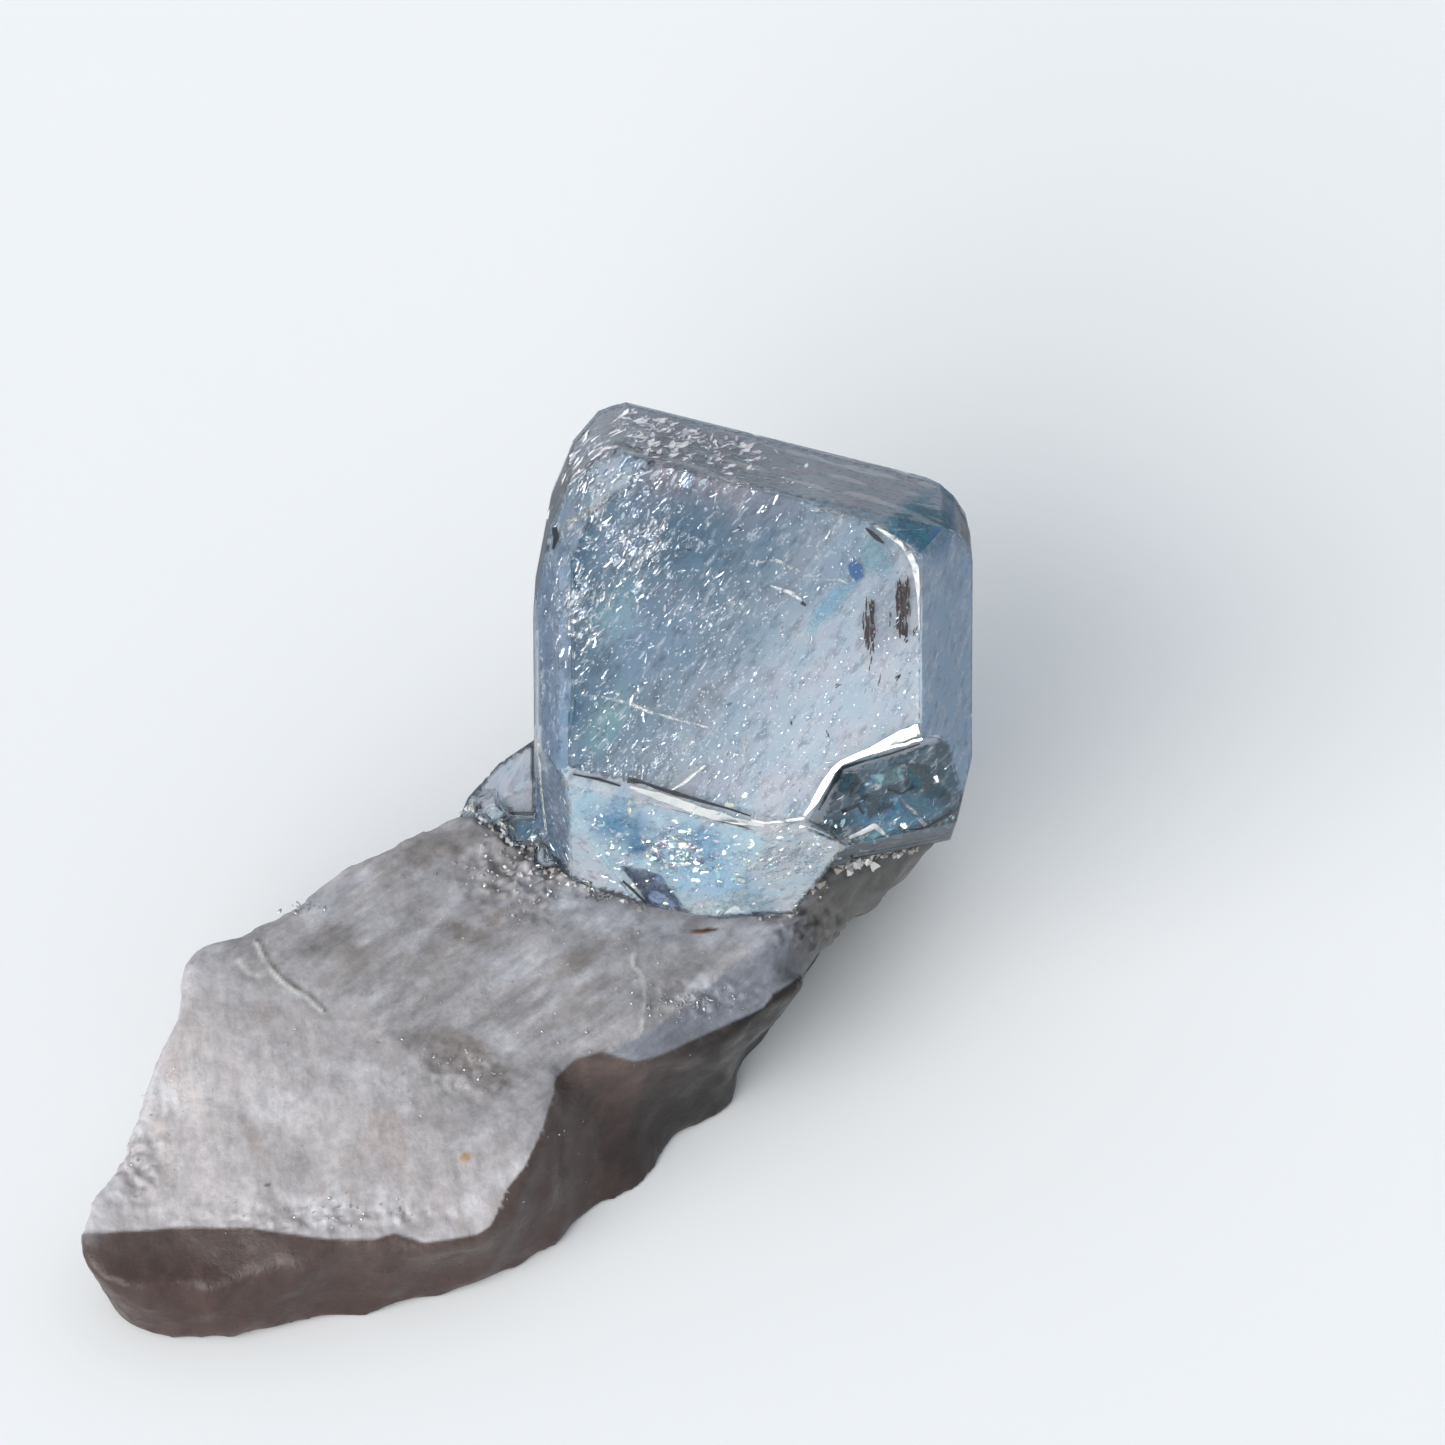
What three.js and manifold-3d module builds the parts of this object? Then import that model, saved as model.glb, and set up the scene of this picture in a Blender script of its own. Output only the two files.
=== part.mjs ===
// A blocky blue euclase crystal on a loose piece of its grey-white matrix, lying on the matrix's flat underside.
// Millimetres, +Z up. The origin is on the surface it rests on, below the middle of the specimen.
//
// The specimen is laid out on the ground below the crystal's middle, +X to the right and +Y to the back, and moved
// to its origin at the end. The crystal is cut from a block by flat faces. A face is written as
//   face(turn, tilt, reach, depth)
// where turn and tilt are the direction it looks in, in degrees: turn goes round the crystal's own +Z axis, which
// stands out of its front face, from its +X axis on the right, and tilt is counted from +Z. The face passes
// through the point that is reach out along turn and depth along +Z. +Y runs up the crystal's long axis.
import * as THREE from "three";
import { ImprovedNoise } from "three/addons/math/ImprovedNoise.js";
import { mergeVertices } from "three/addons/utils/BufferGeometryUtils.js";
import Module from "manifold-3d";

const wasm = await Module();
wasm.setup();

// Driving dimensions
const WIDTH = 9.63; // of the crystal, across its two side faces
const DEPTH = 6.6; // of the crystal, from front face to back face
const RISE = 52; // degrees that the crystal's long axis stands above the ground
const MIDDLE = 9.26; // height of the crystal's middle
const FOOT = 3.2; // height of the crystal's underside, inside the matrix
const GAP = 0.1; // between the crystal and the socket that it grew in
const TOP = { height: 6.025, back: 0.3366, right: -0.0354 }; // the matrix's top, and how it climbs
const HEART = [-6.5, -5.5]; // the point that the matrix's edge runs round
const ROUGH = { size: 2.9, height: 0.26 }; // the matrix's broad unevenness
const GRAIN = { size: 0.95, height: 0.1 }; // its fine unevenness
const JAGGED = { size: 0.7, height: 0.24 }; // and how its broken sides stand in and out
const GROUND = [26, 22]; // the area that the matrix's top is laid out on, centred on HEART
const CELL = 0.62; // the grid of its top
const AROUND = 150; // steps round its sides
const UP = 8; // rings on its sides
const OVER = 1.3; // how far the sides are carried up, before the top cuts them
const BLOCK = 60; // a side of the block that a crystal is cut from

const FRONT = DEPTH / 2;
const BACK = -DEPTH / 2;
const SIDE = WIDTH / 2;
const [RIGHT, LEFT] = [0, 180];
const FLAT = 90;

// Solids

function solidOf(geometry) {
  const bare = new THREE.BufferGeometry();
  bare.setAttribute("position", geometry.getAttribute("position").clone());
  bare.setIndex(geometry.index);
  const merged = mergeVertices(bare, 1e-4);
  return new wasm.Manifold(
    new wasm.Mesh({
      numProp: 3,
      vertProperties: merged.getAttribute("position").array,
      triVerts: new Uint32Array(merged.index.array),
    }),
  );
}

function geometryOf(solid) {
  const mesh = solid.getMesh();
  const geometry = new THREE.BufferGeometry();
  geometry.setAttribute("position", new THREE.BufferAttribute(mesh.vertProperties, 3));
  geometry.setIndex(new THREE.BufferAttribute(mesh.triVerts, 1));
  return geometry;
}

function face(turn, tilt, reach, depth) {
  const [t, s] = [turn, tilt].map(THREE.MathUtils.degToRad);
  const normal = new THREE.Vector3(Math.cos(t) * Math.sin(s), Math.sin(t) * Math.sin(s), Math.cos(s));
  return { normal, distance: reach * Math.sin(s) + depth * Math.cos(s) };
}

// The same face, looking the other way.
function flip({ normal, distance }) {
  return { normal: normal.clone().negate(), distance: -distance };
}

// Everything beyond a face, as a block that lies against it.
function beyond({ normal, distance }) {
  const block = new THREE.BoxGeometry(BLOCK, BLOCK, BLOCK).translate(0, 0, BLOCK / 2 + distance);
  const turned = new THREE.Quaternion().setFromUnitVectors(new THREE.Vector3(0, 0, 1), normal);
  return solidOf(block.applyQuaternion(turned));
}

// The convex solid inside all of the faces, with each face moved out by grow.
function within(faces, grow = 0) {
  const whole = solidOf(new THREE.BoxGeometry(BLOCK, BLOCK, BLOCK));
  return faces.reduce(
    (solid, { normal, distance }) => solid.subtract(beyond({ normal, distance: distance + grow })),
    whole,
  );
}

// The crystal, in its own frame

const sides = [
  face(RIGHT, FLAT, SIDE - 0.04, 0),
  face(LEFT, FLAT, SIDE + 0.06, 0),
  face(347, 87, 5.26, 0),
];

const crown = [
  face(75.7, FLAT, 3.93, 0),
  face(55.4, FLAT, 4.81, 0),
  face(35.4, FLAT, 5.22, 0),
  face(13.7, FLAT, 5.12, 0),
  face(113.2, FLAT, 5.53, 0),
  face(133.5, FLAT, 5.68, 0),
  face(156.3, FLAT, 5.31, 0),
  face(169.1, FLAT, 4.99, 0),
];

const frontBevels = [
  face(RIGHT, 58, 3.6, FRONT),
  face(54.6, 50, 4.17, FRONT),
  face(70.6, 68, 3.87, FRONT),
  face(132, 34, 4.95, FRONT),
  face(157, 48, 4.62, FRONT),
  face(LEFT, 38, 4.0, FRONT),
  face(LEFT, 57, 4.15, FRONT),
  face(181, 76, 4.5, FRONT),
];

// Low growth faces that break up the front: a step across it and a bright strip along its lower edge.
const growthFaces = [
  face(253.3, 1.8, 1.53, FRONT),
  face(255.5, 17, 2.92, FRONT),
];

const lowerFaces = [
  face(255.5, 38, 3.29, FRONT),
  face(240, 49, 4.3, FRONT),
  face(203, 68, 4.75, FRONT),
  face(285, 45, 3.48, FRONT),
];

const backFaces = [
  face(40, 176, 0, BACK),
  face(12, 128, 4.1, BACK),
  face(172, 122, 4.1, BACK),
  face(76, 125, 3.7, BACK),
  face(262, 122, 3.4, BACK),
];

// The underside is level once the crystal leans at RISE.
const underside = { ...face(270, FLAT + (90 - RISE), 0, 0), distance: MIDDLE - FOOT };

const front = [face(0, 0, 0, FRONT), ...frontBevels, ...growthFaces];
const body = [...front, ...sides, ...crown, ...lowerFaces, ...backFaces, underside];

// A corner is broken away at the lower right of the front face, with three short walls and a floor, and below it
// the crystal steps back to where it meets the matrix.
const chip = [
  face(151.9, 117, -2.54, FRONT),
  face(111.5, 117, -2.67, FRONT),
  face(222, 110, 1.65, FRONT),
  flip(face(307.8, 24, 1.88, FRONT)),
];
const stepBack = [
  face(142.7, 97.3, -4.43, 0),
  face(104, 108, -4.7, 1.7),
];

// The small crystal that grew against the lower left side.
const twin = [
  face(124.3, 100, 0.89, 0),
  face(138, 98, 2.35, 0),
  face(157.5, 95, 4.54, 0),
  face(150, 52, 2.9, -0.4),
  face(235, 30, 5.6, -0.2),
  face(0, 180, 0, -3.4),
  face(RIGHT, FLAT, -3.6, 0),
  underside,
];

// Crystal grains that sprout where the crystal meets the matrix.
const grains = [
  { at: [-5.1, -4.35, -0.5], size: 0.62, turn: 8 },
  { at: [-5.8, -3.95, -0.75], size: 0.5, turn: 33 },
  { at: [-4.6, -4.95, -0.15], size: 0.46, turn: 52 },
  { at: [-3.4, -5.5, 0.5], size: 0.4, turn: 21 },
  { at: [1.85, -4.8, -0.15], size: 0.46, turn: 40 },
  { at: [2.4, -4.55, 0.1], size: 0.4, turn: 15 },
];

function grain({ at, size, turn }, grow) {
  const block = new THREE.BoxGeometry(size, size, size).rotateZ(THREE.MathUtils.degToRad(turn));
  const scale = 1 + (2 * grow) / size;
  return solidOf(block.rotateX(THREE.MathUtils.degToRad(turn)).scale(scale, scale, scale).translate(...at));
}

function crystal(grow) {
  const whole = within(body, grow).add(within(twin, grow));
  const chipped = [chip, stepBack].reduce((solid, tool) => solid.subtract(within(tool, -grow)), whole);
  return grains.reduce((solid, one) => solid.add(grain(one, grow)), chipped);
}

// The matrix: the edge of its top, going round from the left end along the back, with each point's foot on the
// ground, and how far the edge lies below the plane of the top

const edge = [
  { top: [-14.9, -11.5], drop: 0, foot: [-14.2, -11.0] },
  { top: [-13.76, -9.0], drop: 0, foot: [-13.2, -8.7] },
  { top: [-12.9, -6.3], drop: 0, foot: [-12.5, -5.9] },
  { top: [-12.56, -5.4], drop: 0, foot: [-12.2, -4.7] },
  { top: [-11.2, -4.6], drop: 0, foot: [-11.2, -3.7] },
  { top: [-9.45, -3.3], drop: 0, foot: [-9.5, -2.2] },
  { top: [-7.2, -2.2], drop: 0, foot: [-7.4, -1.0] },
  { top: [-4.9, -0.3], drop: 0.2, foot: [-5.4, 0.4] },
  { top: [-3.0, 0.9], drop: 0.4, foot: [-3.4, 1.9] },
  { top: [-0.8, 1.9], drop: 0.8, foot: [-0.8, 3.2] },
  { top: [1.8, 2.2], drop: 1, foot: [1.8, 3.4] },
  { top: [3.8, 1.4], drop: 1.2, foot: [3.3, 2.5] },
  { top: [4.3, -1.0], drop: 1.2, foot: [3.4, 1.3] },
  { top: [3.8, -1.5], drop: 1.7, foot: [3.0, 0.6] },
  { top: [3.1, -2.25], drop: 1.9, foot: [2.4, -0.2] },
  { top: [2.2, -3.2], drop: 1.6, foot: [1.5, -0.9] },
  { top: [1.4, -4.15], drop: 1, foot: [0.8, -2.5] },
  { top: [0.9, -5.45], drop: 0.3, foot: [0.3, -3.9] },
  { top: [0.1, -6.2], drop: 0.3, foot: [-0.2, -4.6] },
  { top: [-1.3, -6.85], drop: 0.3, foot: [-0.6, -5.9] },
  { top: [-2.5, -7.35], drop: 0.2, foot: [-1.7, -6.6] },
  { top: [-4.25, -7.35], drop: 0, foot: [-2.4, -7.6] },
  { top: [-4.45, -8.0], drop: 0, foot: [-3.1, -8.4] },
  { top: [-4.8, -9.2], drop: 0, foot: [-3.9, -9.1] },
  { top: [-5.4, -10.2], drop: 0, foot: [-4.6, -9.75] },
  { top: [-6.0, -11.25], drop: 0, foot: [-5.9, -10.7] },
  { top: [-7.0, -11.5], drop: 0, foot: [-7.2, -11.35] },
  { top: [-8.7, -11.55], drop: 0, foot: [-8.7, -11.8] },
  { top: [-10.4, -12.0], drop: 0, foot: [-10.3, -12.1] },
  { top: [-12.6, -12.4], drop: 0, foot: [-12.3, -12.3] },
  { top: [-14.4, -12.3], drop: 0, foot: [-13.7, -12.0] },
];

// Steps on the top. Past all of a step's lines, each given by the way it faces and its distance, the top is lower.
const steps = [
  { lines: [[0.603, -0.798, 3.74]], drop: 0.3, width: 0.5 },
  { lines: [[0.999, 0.05, -2.75]], drop: 0.14, width: 0.25 },
  { lines: [[-0.55, 0.835, 2.9]], drop: 0.22, width: 0.35 },
  { lines: [[-0.9, -0.43, 14.6]], drop: 0.25, width: 0.6 },
  { lines: [[0.806, -0.592, 3.0], [0.35, 0.94, -4.6]], drop: 1.9, width: 1.1 },
  { lines: [[0.5, 0.866, 1.0]], drop: 1, width: 2 },
];

const noise = new ImprovedNoise();

function topHeight(x, y) {
  return TOP.height + TOP.back * y + TOP.right * x;
}

function stepDrop(x, y) {
  return steps.reduce((sum, { lines, drop, width }) => {
    const past = Math.min(...lines.map(([nx, ny, distance]) => nx * x + ny * y - distance));
    return sum + drop * THREE.MathUtils.smoothstep(past, 0, width);
  }, 0);
}

// Broken unevenness, as a shift in three directions.
function uneven(at, ...scales) {
  const shift = new THREE.Vector3();
  for (const { size, height } of scales) {
    const { x, y, z } = at.clone().divideScalar(size);
    shift.x += height * noise.noise(x, y, z + 7.3);
    shift.y += height * noise.noise(x + 31.7, y, z);
    shift.z += height * noise.noise(x, y + 57.1, z);
  }
  return shift;
}

function closedCurve(points) {
  return new THREE.CatmullRomCurve3(points.map((p) => new THREE.Vector3(...p)), true, "centripetal");
}

// The rock's sides, from their foot on the ground to above its top, closed by flat ends.
function rockSides() {
  const tops = closedCurve(edge.map(({ top, drop }) => [...top, topHeight(...top) - drop]));
  const feet = closedCurve(edge.map(({ foot }) => [...foot, 0]));
  const points = [];
  const faces = [];
  for (let i = 0; i < AROUND; i += 1) {
    const foot = feet.getPoint(i / AROUND);
    const top = tops.getPoint(i / AROUND);
    for (let k = 0; k < UP; k += 1) {
      const at = new THREE.Vector3().lerpVectors(foot, top, (k / (UP - 1)) * OVER);
      const shift = uneven(at, ROUGH, GRAIN, JAGGED);
      points.push(at.add(k === 0 ? shift.setZ(0) : shift));
    }
  }
  points.push(new THREE.Vector3(...HEART, 0), new THREE.Vector3(...HEART, BLOCK / 2));
  const [base, crest] = [points.length - 2, points.length - 1];
  for (let i = 0; i < AROUND; i += 1) {
    const [here, next] = [i * UP, ((i + 1) % AROUND) * UP];
    faces.push([base, here, next], [crest, next + UP - 1, here + UP - 1]);
    for (let k = 0; k < UP - 1; k += 1) {
      faces.push([here + k, here + k + 1, next + k], [next + k, here + k + 1, next + k + 1]);
    }
  }
  const geometry = new THREE.BufferGeometry().setFromPoints(points);
  geometry.setIndex(faces.flat());
  return solidOf(geometry);
}

// Everything below the rock's top, as a block with an uneven upper face.
function belowTop() {
  const [wide, deep] = GROUND;
  const cells = GROUND.map((length) => Math.round(length / CELL));
  const block = new THREE.BoxGeometry(wide, deep, 1, ...cells, 1).translate(...HEART, 0);
  const place = block.getAttribute("position");
  const at = new THREE.Vector3();
  for (let i = 0; i < place.count; i += 1) {
    at.fromBufferAttribute(place, i);
    if (at.z < 0) {
      at.z = -1;
    } else {
      at.z = topHeight(at.x, at.y) - stepDrop(at.x, at.y);
      at.add(uneven(at, ROUGH, GRAIN));
    }
    place.setXYZ(i, at.x, at.y, at.z);
  }
  return solidOf(block);
}

// The rock without the crumbs that the socket cuts off its edge.
function matrix() {
  const socket = crystal(GAP).rotate([RISE, 0, 0]).translate([0, 0, MIDDLE]);
  const pieces = rockSides().intersect(belowTop()).subtract(socket).decompose();
  return pieces.reduce((most, next) => (next.volume() > most.volume() ? next : most));
}

// The scene graph

function piece(name, solid, material) {
  const mesh = new THREE.Mesh(geometryOf(solid), material);
  mesh.name = name;
  return mesh;
}

const blue = new THREE.MeshStandardMaterial({ color: 0xa9bfd2, roughness: 0.08, metalness: 0 });
const grey = new THREE.MeshStandardMaterial({ color: 0xb9b4b4, roughness: 0.5, metalness: 0 });

const euclase = piece("euclase_crystal", crystal(0), blue);
euclase.rotation.x = THREE.MathUtils.degToRad(RISE);
euclase.position.z = MIDDLE;

const specimen = new THREE.Group();
specimen.add(euclase, piece("matrix", matrix(), grey));

const box = new THREE.Box3().setFromObject(specimen, true);
const middle = box.getCenter(new THREE.Vector3());
specimen.position.set(-middle.x, -middle.y, -box.min.z);

export default specimen;
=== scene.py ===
"""A blue euclase crystal on its matrix, seen from above and in front, on a pale floor.

Lengths are in millimetres until the end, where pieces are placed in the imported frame's metres. Two more
frames start at the crystal's middle: its own, with x to its right, y up its long axis and z out of its front
face, and the sight frame, with x to the right of the picture, y up it and z toward the camera. A place given
by two numbers is in the sight frame, and turns in the picture are counted up from its right. Colours are
linear.
"""

import math
import random

import bmesh
import bpy
from mathutils import Matrix, Vector, noise
from mathutils.bvhtree import BVHTree


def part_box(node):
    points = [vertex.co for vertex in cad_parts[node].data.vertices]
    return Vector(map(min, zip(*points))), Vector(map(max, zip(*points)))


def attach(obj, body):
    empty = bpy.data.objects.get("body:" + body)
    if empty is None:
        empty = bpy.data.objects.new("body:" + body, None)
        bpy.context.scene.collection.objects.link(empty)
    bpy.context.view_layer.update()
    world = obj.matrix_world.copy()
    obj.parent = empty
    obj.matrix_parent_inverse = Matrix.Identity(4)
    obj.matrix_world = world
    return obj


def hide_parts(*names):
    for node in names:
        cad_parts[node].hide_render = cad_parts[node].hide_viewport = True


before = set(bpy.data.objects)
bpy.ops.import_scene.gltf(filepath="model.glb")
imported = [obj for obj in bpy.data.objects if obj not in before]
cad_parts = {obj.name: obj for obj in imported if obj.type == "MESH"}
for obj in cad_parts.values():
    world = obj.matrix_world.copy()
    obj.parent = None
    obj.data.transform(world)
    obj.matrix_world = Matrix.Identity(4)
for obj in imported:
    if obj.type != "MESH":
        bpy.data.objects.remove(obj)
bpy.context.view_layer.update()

MM = 0.001

# The crystal's frame, found from the box of its node
RISE = math.radians(52)  # of its long axis above the ground
FROM_RIGHT, FROM_FAR, FROM_GROUND = 4.775, 5.428, 6.06  # of its middle in that box
LOW, HIGH = (Vector(corner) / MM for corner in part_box("euclase_crystal"))
CENTRE = Vector((HIGH.x - FROM_RIGHT, HIGH.y - FROM_FAR, LOW.z + FROM_GROUND))
TO_GROUND = Matrix.Translation(CENTRE) @ Matrix.Rotation(RISE, 4, "X")
FRONT_WAY = TO_GROUND.to_3x3() @ Vector((0, 0, 1))

# The sight frame, and the camera that looks down its z
LOOK_DOWN = math.radians(50)
SIGHT_TURN = math.radians(90) - LOOK_DOWN
FROM_SIGHT = Matrix.Translation(CENTRE) @ Matrix.Rotation(SIGHT_TURN, 4, "X")
RIGHT, UP, BACK = (FROM_SIGHT.to_3x3() @ Vector(axis) for axis in ((1, 0, 0), (0, 1, 0), (0, 0, 1)))
VIEW_WIDTH = 32.11  # across the picture at the specimen
VIEW_DISTANCE = 300.0
VIEW_MIDDLE = Vector((4.318, 3.138, 6.943))
FAR = 60  # from the crystal's middle to where the lines of sight start, on either side

KEY = Vector((-0.55, -0.70, 0.46)).normalized()  # toward the soft box
IOR = 1.65


# Numbers, lines and ovals of the picture

def smooth_step(low, high, value):
    share = min(1.0, max(0.0, (value - low) / (high - low)))
    return share * share * (3 - 2 * share)


def blend(a, b, share):
    return tuple(x + (y - x) * share for x, y in zip(a, b))


def height_on(line, x):
    """The height of a line in the picture, drawn from the right to the left, at x."""
    if x >= line[0][0]:
        return line[0][1]
    for (x0, y0), (x1, y1) in zip(line, line[1:]):
        if x >= x1:
            return y1 + (y0 - y1) * (x - x1) / (x0 - x1)
    return line[-1][1]


def oval(x, y, middle, halves, turn):
    """How far a point is from an oval's middle, where 1 is its rim."""
    cos, sin = math.cos(math.radians(turn)), math.sin(math.radians(turn))
    along = ((x - middle[0]) * cos + (y - middle[1]) * sin) / halves[0]
    across = ((y - middle[1]) * cos - (x - middle[0]) * sin) / halves[1]
    return math.hypot(along, across)


def nearness(x, y, middle, halves):
    """How near a point is to the middle of a soft oval: 1 there, and little past its rim."""
    return math.exp(-((x - middle[0]) / halves[0]) ** 2 - ((y - middle[1]) / halves[1]) ** 2)


def on_sight(turn):
    """A direction in the picture."""
    return RIGHT * math.cos(turn) + UP * math.sin(turn)


def shaken(rng, size):
    """A small random shift."""
    return Vector([rng.gauss(0, 1) for _ in range(3)]) * size


def strewn(rng, middle, halves):
    """A random point of a soft oval."""
    return [at + rng.gauss(0, 0.6) * half for at, half in zip(middle, halves)]


# Materials and pieces

class Nodes:
    """A node tree with short ways to add to it. What goes in a socket is a value or another node's output."""

    def __init__(self, tree):
        self.tree = tree

    def put(self, socket, value):
        if isinstance(value, bpy.types.NodeSocket):
            self.tree.links.new(value, socket)
        else:
            socket.default_value = value

    def add(self, kind, inputs=(), **settings):
        """A node with settings, and with inputs in order or by name."""
        node = self.tree.nodes.new("ShaderNode" + kind)
        for key, value in settings.items():
            setattr(node, key, value)
        for key, value in inputs.items() if isinstance(inputs, dict) else enumerate(inputs):
            self.put(node.inputs[key], value)
        return node

    def shade(self, **values):
        """Values for the surface shader, with _ for a space in a socket's name."""
        for key, value in values.items():
            self.put(self.tree.nodes["Principled BSDF"].inputs[key.replace("_", " ")], value)

    def attribute(self, name="tint"):
        return self.add("Attribute", attribute_name=name).outputs

    def place(self, kind="Object"):
        return self.add("TexCoord").outputs[kind]

    def along(self, turn, stretch):
        """Places in millimetres, drawn out along a direction of the picture."""
        turned = Matrix.Rotation(SIGHT_TURN, 3, "X") @ Matrix.Rotation(turn, 3, "Z")
        inputs = {"Vector": self.place(), "Rotation": turned.to_euler(), "Scale": (stretch * MM, MM, MM)}
        return self.add("Mapping", inputs, vector_type="TEXTURE").outputs["Vector"]

    def noise(self, place, scale, detail, roughness):
        inputs = {"Vector": place, "Scale": scale, "Detail": detail, "Roughness": roughness}
        return self.add("TexNoise", inputs).outputs["Fac"]

    def ramp(self, value, low, high, to_low=0.0, to_high=1.0, shape="LINEAR"):
        inputs = (value, low, high, to_low, to_high)
        return self.add("MapRange", inputs, interpolation_type=shape).outputs["Result"]

    def math(self, operation, *inputs, clamp=False):
        return self.add("Math", inputs, operation=operation, use_clamp=clamp).outputs["Value"]

    def vector(self, operation, *inputs):
        return self.add("VectorMath", inputs, operation=operation).outputs["Vector"]

    def toward(self, way, direction):
        """How far a direction looks the way of a fixed one, from -1 to 1."""
        return self.add("VectorMath", (way, direction), operation="DOT_PRODUCT").outputs["Value"]

    def mix(self, kind, share, a, b, clamp=False):
        inputs = {"Factor": share, "A": a, "B": b}
        made = self.add("Mix", inputs, data_type="RGBA", blend_type=kind, clamp_result=clamp)
        return made.outputs["Result"]

    def bump(self, height, strength, normal=None):
        """A surface with small heights of up to 0.05 mm."""
        inputs = {"Height": height, "Strength": strength, "Distance": 0.05 * MM}
        if normal is not None:
            inputs["Normal"] = normal
        return self.add("Bump", inputs).outputs["Normal"]


def new_material(name):
    material = bpy.data.materials.new(name)
    material.use_nodes = True
    return material, Nodes(material.node_tree)


def add_piece(name, mesh, material):
    piece = bpy.data.objects.new(name, mesh)
    bpy.context.scene.collection.objects.link(piece)
    mesh.materials.clear()
    mesh.materials.append(material)
    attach(piece, "root")
    return piece


def tint_mesh(mesh, colours, name="tint"):
    layer = mesh.color_attributes.new(name=name, type="FLOAT_COLOR", domain="POINT")
    layer.data.foreach_set("color", [value for colour in colours for value in colour])


def new_piece(name, points, faces, colours, material):
    """A piece from points in millimetres, with a colour for each."""
    mesh = bpy.data.meshes.new(name)
    mesh.from_pydata([point * MM for point in points], [], faces)
    tint_mesh(mesh, colours)
    return add_piece(name, mesh, material)


def copy_mesh(node_name, name):
    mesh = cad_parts[node_name].data.copy()
    mesh.name = name
    return mesh


class Solid:
    """A node's solid, to find places on it and under its surface."""

    def __init__(self, node_name):
        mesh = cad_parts[node_name].data
        corners = [vertex.co / MM for vertex in mesh.vertices]
        self.tree = BVHTree.FromPolygons(corners, [tuple(face.vertices) for face in mesh.polygons])

    def ray(self, x, y, behind=False):
        """Where the line of sight through a point of the picture meets the surface, from the camera's side or
        from behind, with the way the surface looks there, its face and how far off it is."""
        side = -1 if behind else 1
        return self.tree.ray_cast(FROM_SIGHT @ Vector((x, y, side * FAR)), -BACK * side)

    def seen(self, x, y, behind=False):
        """That place and the way it looks."""
        return self.ray(x, y, behind)[:2]

    def depth(self, point):
        """How far a point is below the surface, less than nothing outside it."""
        place, looks, _, distance = self.tree.find_nearest(point)
        return distance if (point - place).dot(looks) < 0 else -distance


# Camera

def make_camera():
    data = bpy.data.cameras.new("camera")
    camera = bpy.data.objects.new("camera", data)
    bpy.context.scene.collection.objects.link(camera)
    camera.location = (VIEW_MIDDLE + BACK * VIEW_DISTANCE) * MM
    camera.rotation_euler = (SIGHT_TURN, 0, 0)
    data.sensor_width = 36
    data.lens = data.sensor_width * VIEW_DISTANCE / VIEW_WIDTH
    data.clip_start, data.clip_end = 0.01, 10
    bpy.context.scene.camera = camera


# Light and floor: a soft box up on the left, painted on a dim blue-grey dome

BOX_EDGE, BOX_MIDDLE = math.cos(math.radians(38)), math.cos(math.radians(18))
BOX_STRENGTH = 4.65
BOX_COLOUR, DOME_COLOUR = (1.0, 0.975, 0.94, 1), (0.88, 0.94, 1.0, 1)
DOME_DARK, DOME_LIGHT = 0.44, 0.68
DOME_WAY = Vector((-0.5, -0.1, 0.86))  # toward its lightest part
FLOOR_HALF = 0.6  # in metres
FLOOR_COLOUR = (0.81, 0.825, 0.84, 1)


def make_world():
    world = bpy.data.worlds.new("studio")
    world.use_nodes = True
    nodes = Nodes(world.node_tree)
    place = nodes.place("Generated")
    box = nodes.ramp(nodes.toward(place, KEY), BOX_EDGE, BOX_MIDDLE, shape="SMOOTHSTEP")
    dome = nodes.ramp(nodes.toward(place, DOME_WAY), -1, 1, DOME_DARK, DOME_LIGHT)
    background = world.node_tree.nodes["Background"]
    nodes.put(background.inputs["Strength"], nodes.math("MULTIPLY_ADD", box, BOX_STRENGTH, dome))
    nodes.put(background.inputs["Color"], nodes.mix("MIX", box, DOME_COLOUR, BOX_COLOUR))
    world.cycles.sampling_method = "MANUAL"
    world.cycles.sample_map_resolution = 512
    bpy.context.scene.world = world


def make_floor():
    mesh = bpy.data.meshes.new("floor")
    corners = [(x * FLOOR_HALF, y * FLOOR_HALF, 0) for x, y in ((-1, -1), (1, -1), (1, 1), (-1, 1))]
    mesh.from_pydata(corners, [], [(0, 1, 2, 3)])
    floor = bpy.data.objects.new("floor", mesh)
    bpy.context.scene.collection.objects.link(floor)
    material, nodes = new_material("floor")
    nodes.shade(Base_Color=FLOOR_COLOUR, Roughness=0.9)
    mesh.materials.append(material)


def make_studio():
    make_world()
    make_floor()
    scene = bpy.context.scene
    scene.view_settings.view_transform = "Standard"
    scene.cycles.max_bounces = 9
    scene.cycles.transmission_bounces = 8
    scene.cycles.glossy_bounces = 4
    scene.cycles.diffuse_bounces = 4
    scene.cycles.transparent_max_bounces = 24


# The euclase

GROWTH_TURN = math.radians(54)  # of its growth lines
LOWER_EDGE = [(1.1, -3.95), (0.2, -4.05), (-0.1, -4.0), (-1.44, -3.6), (-2.82, -3.2), (-4.2, -2.9)]

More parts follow.
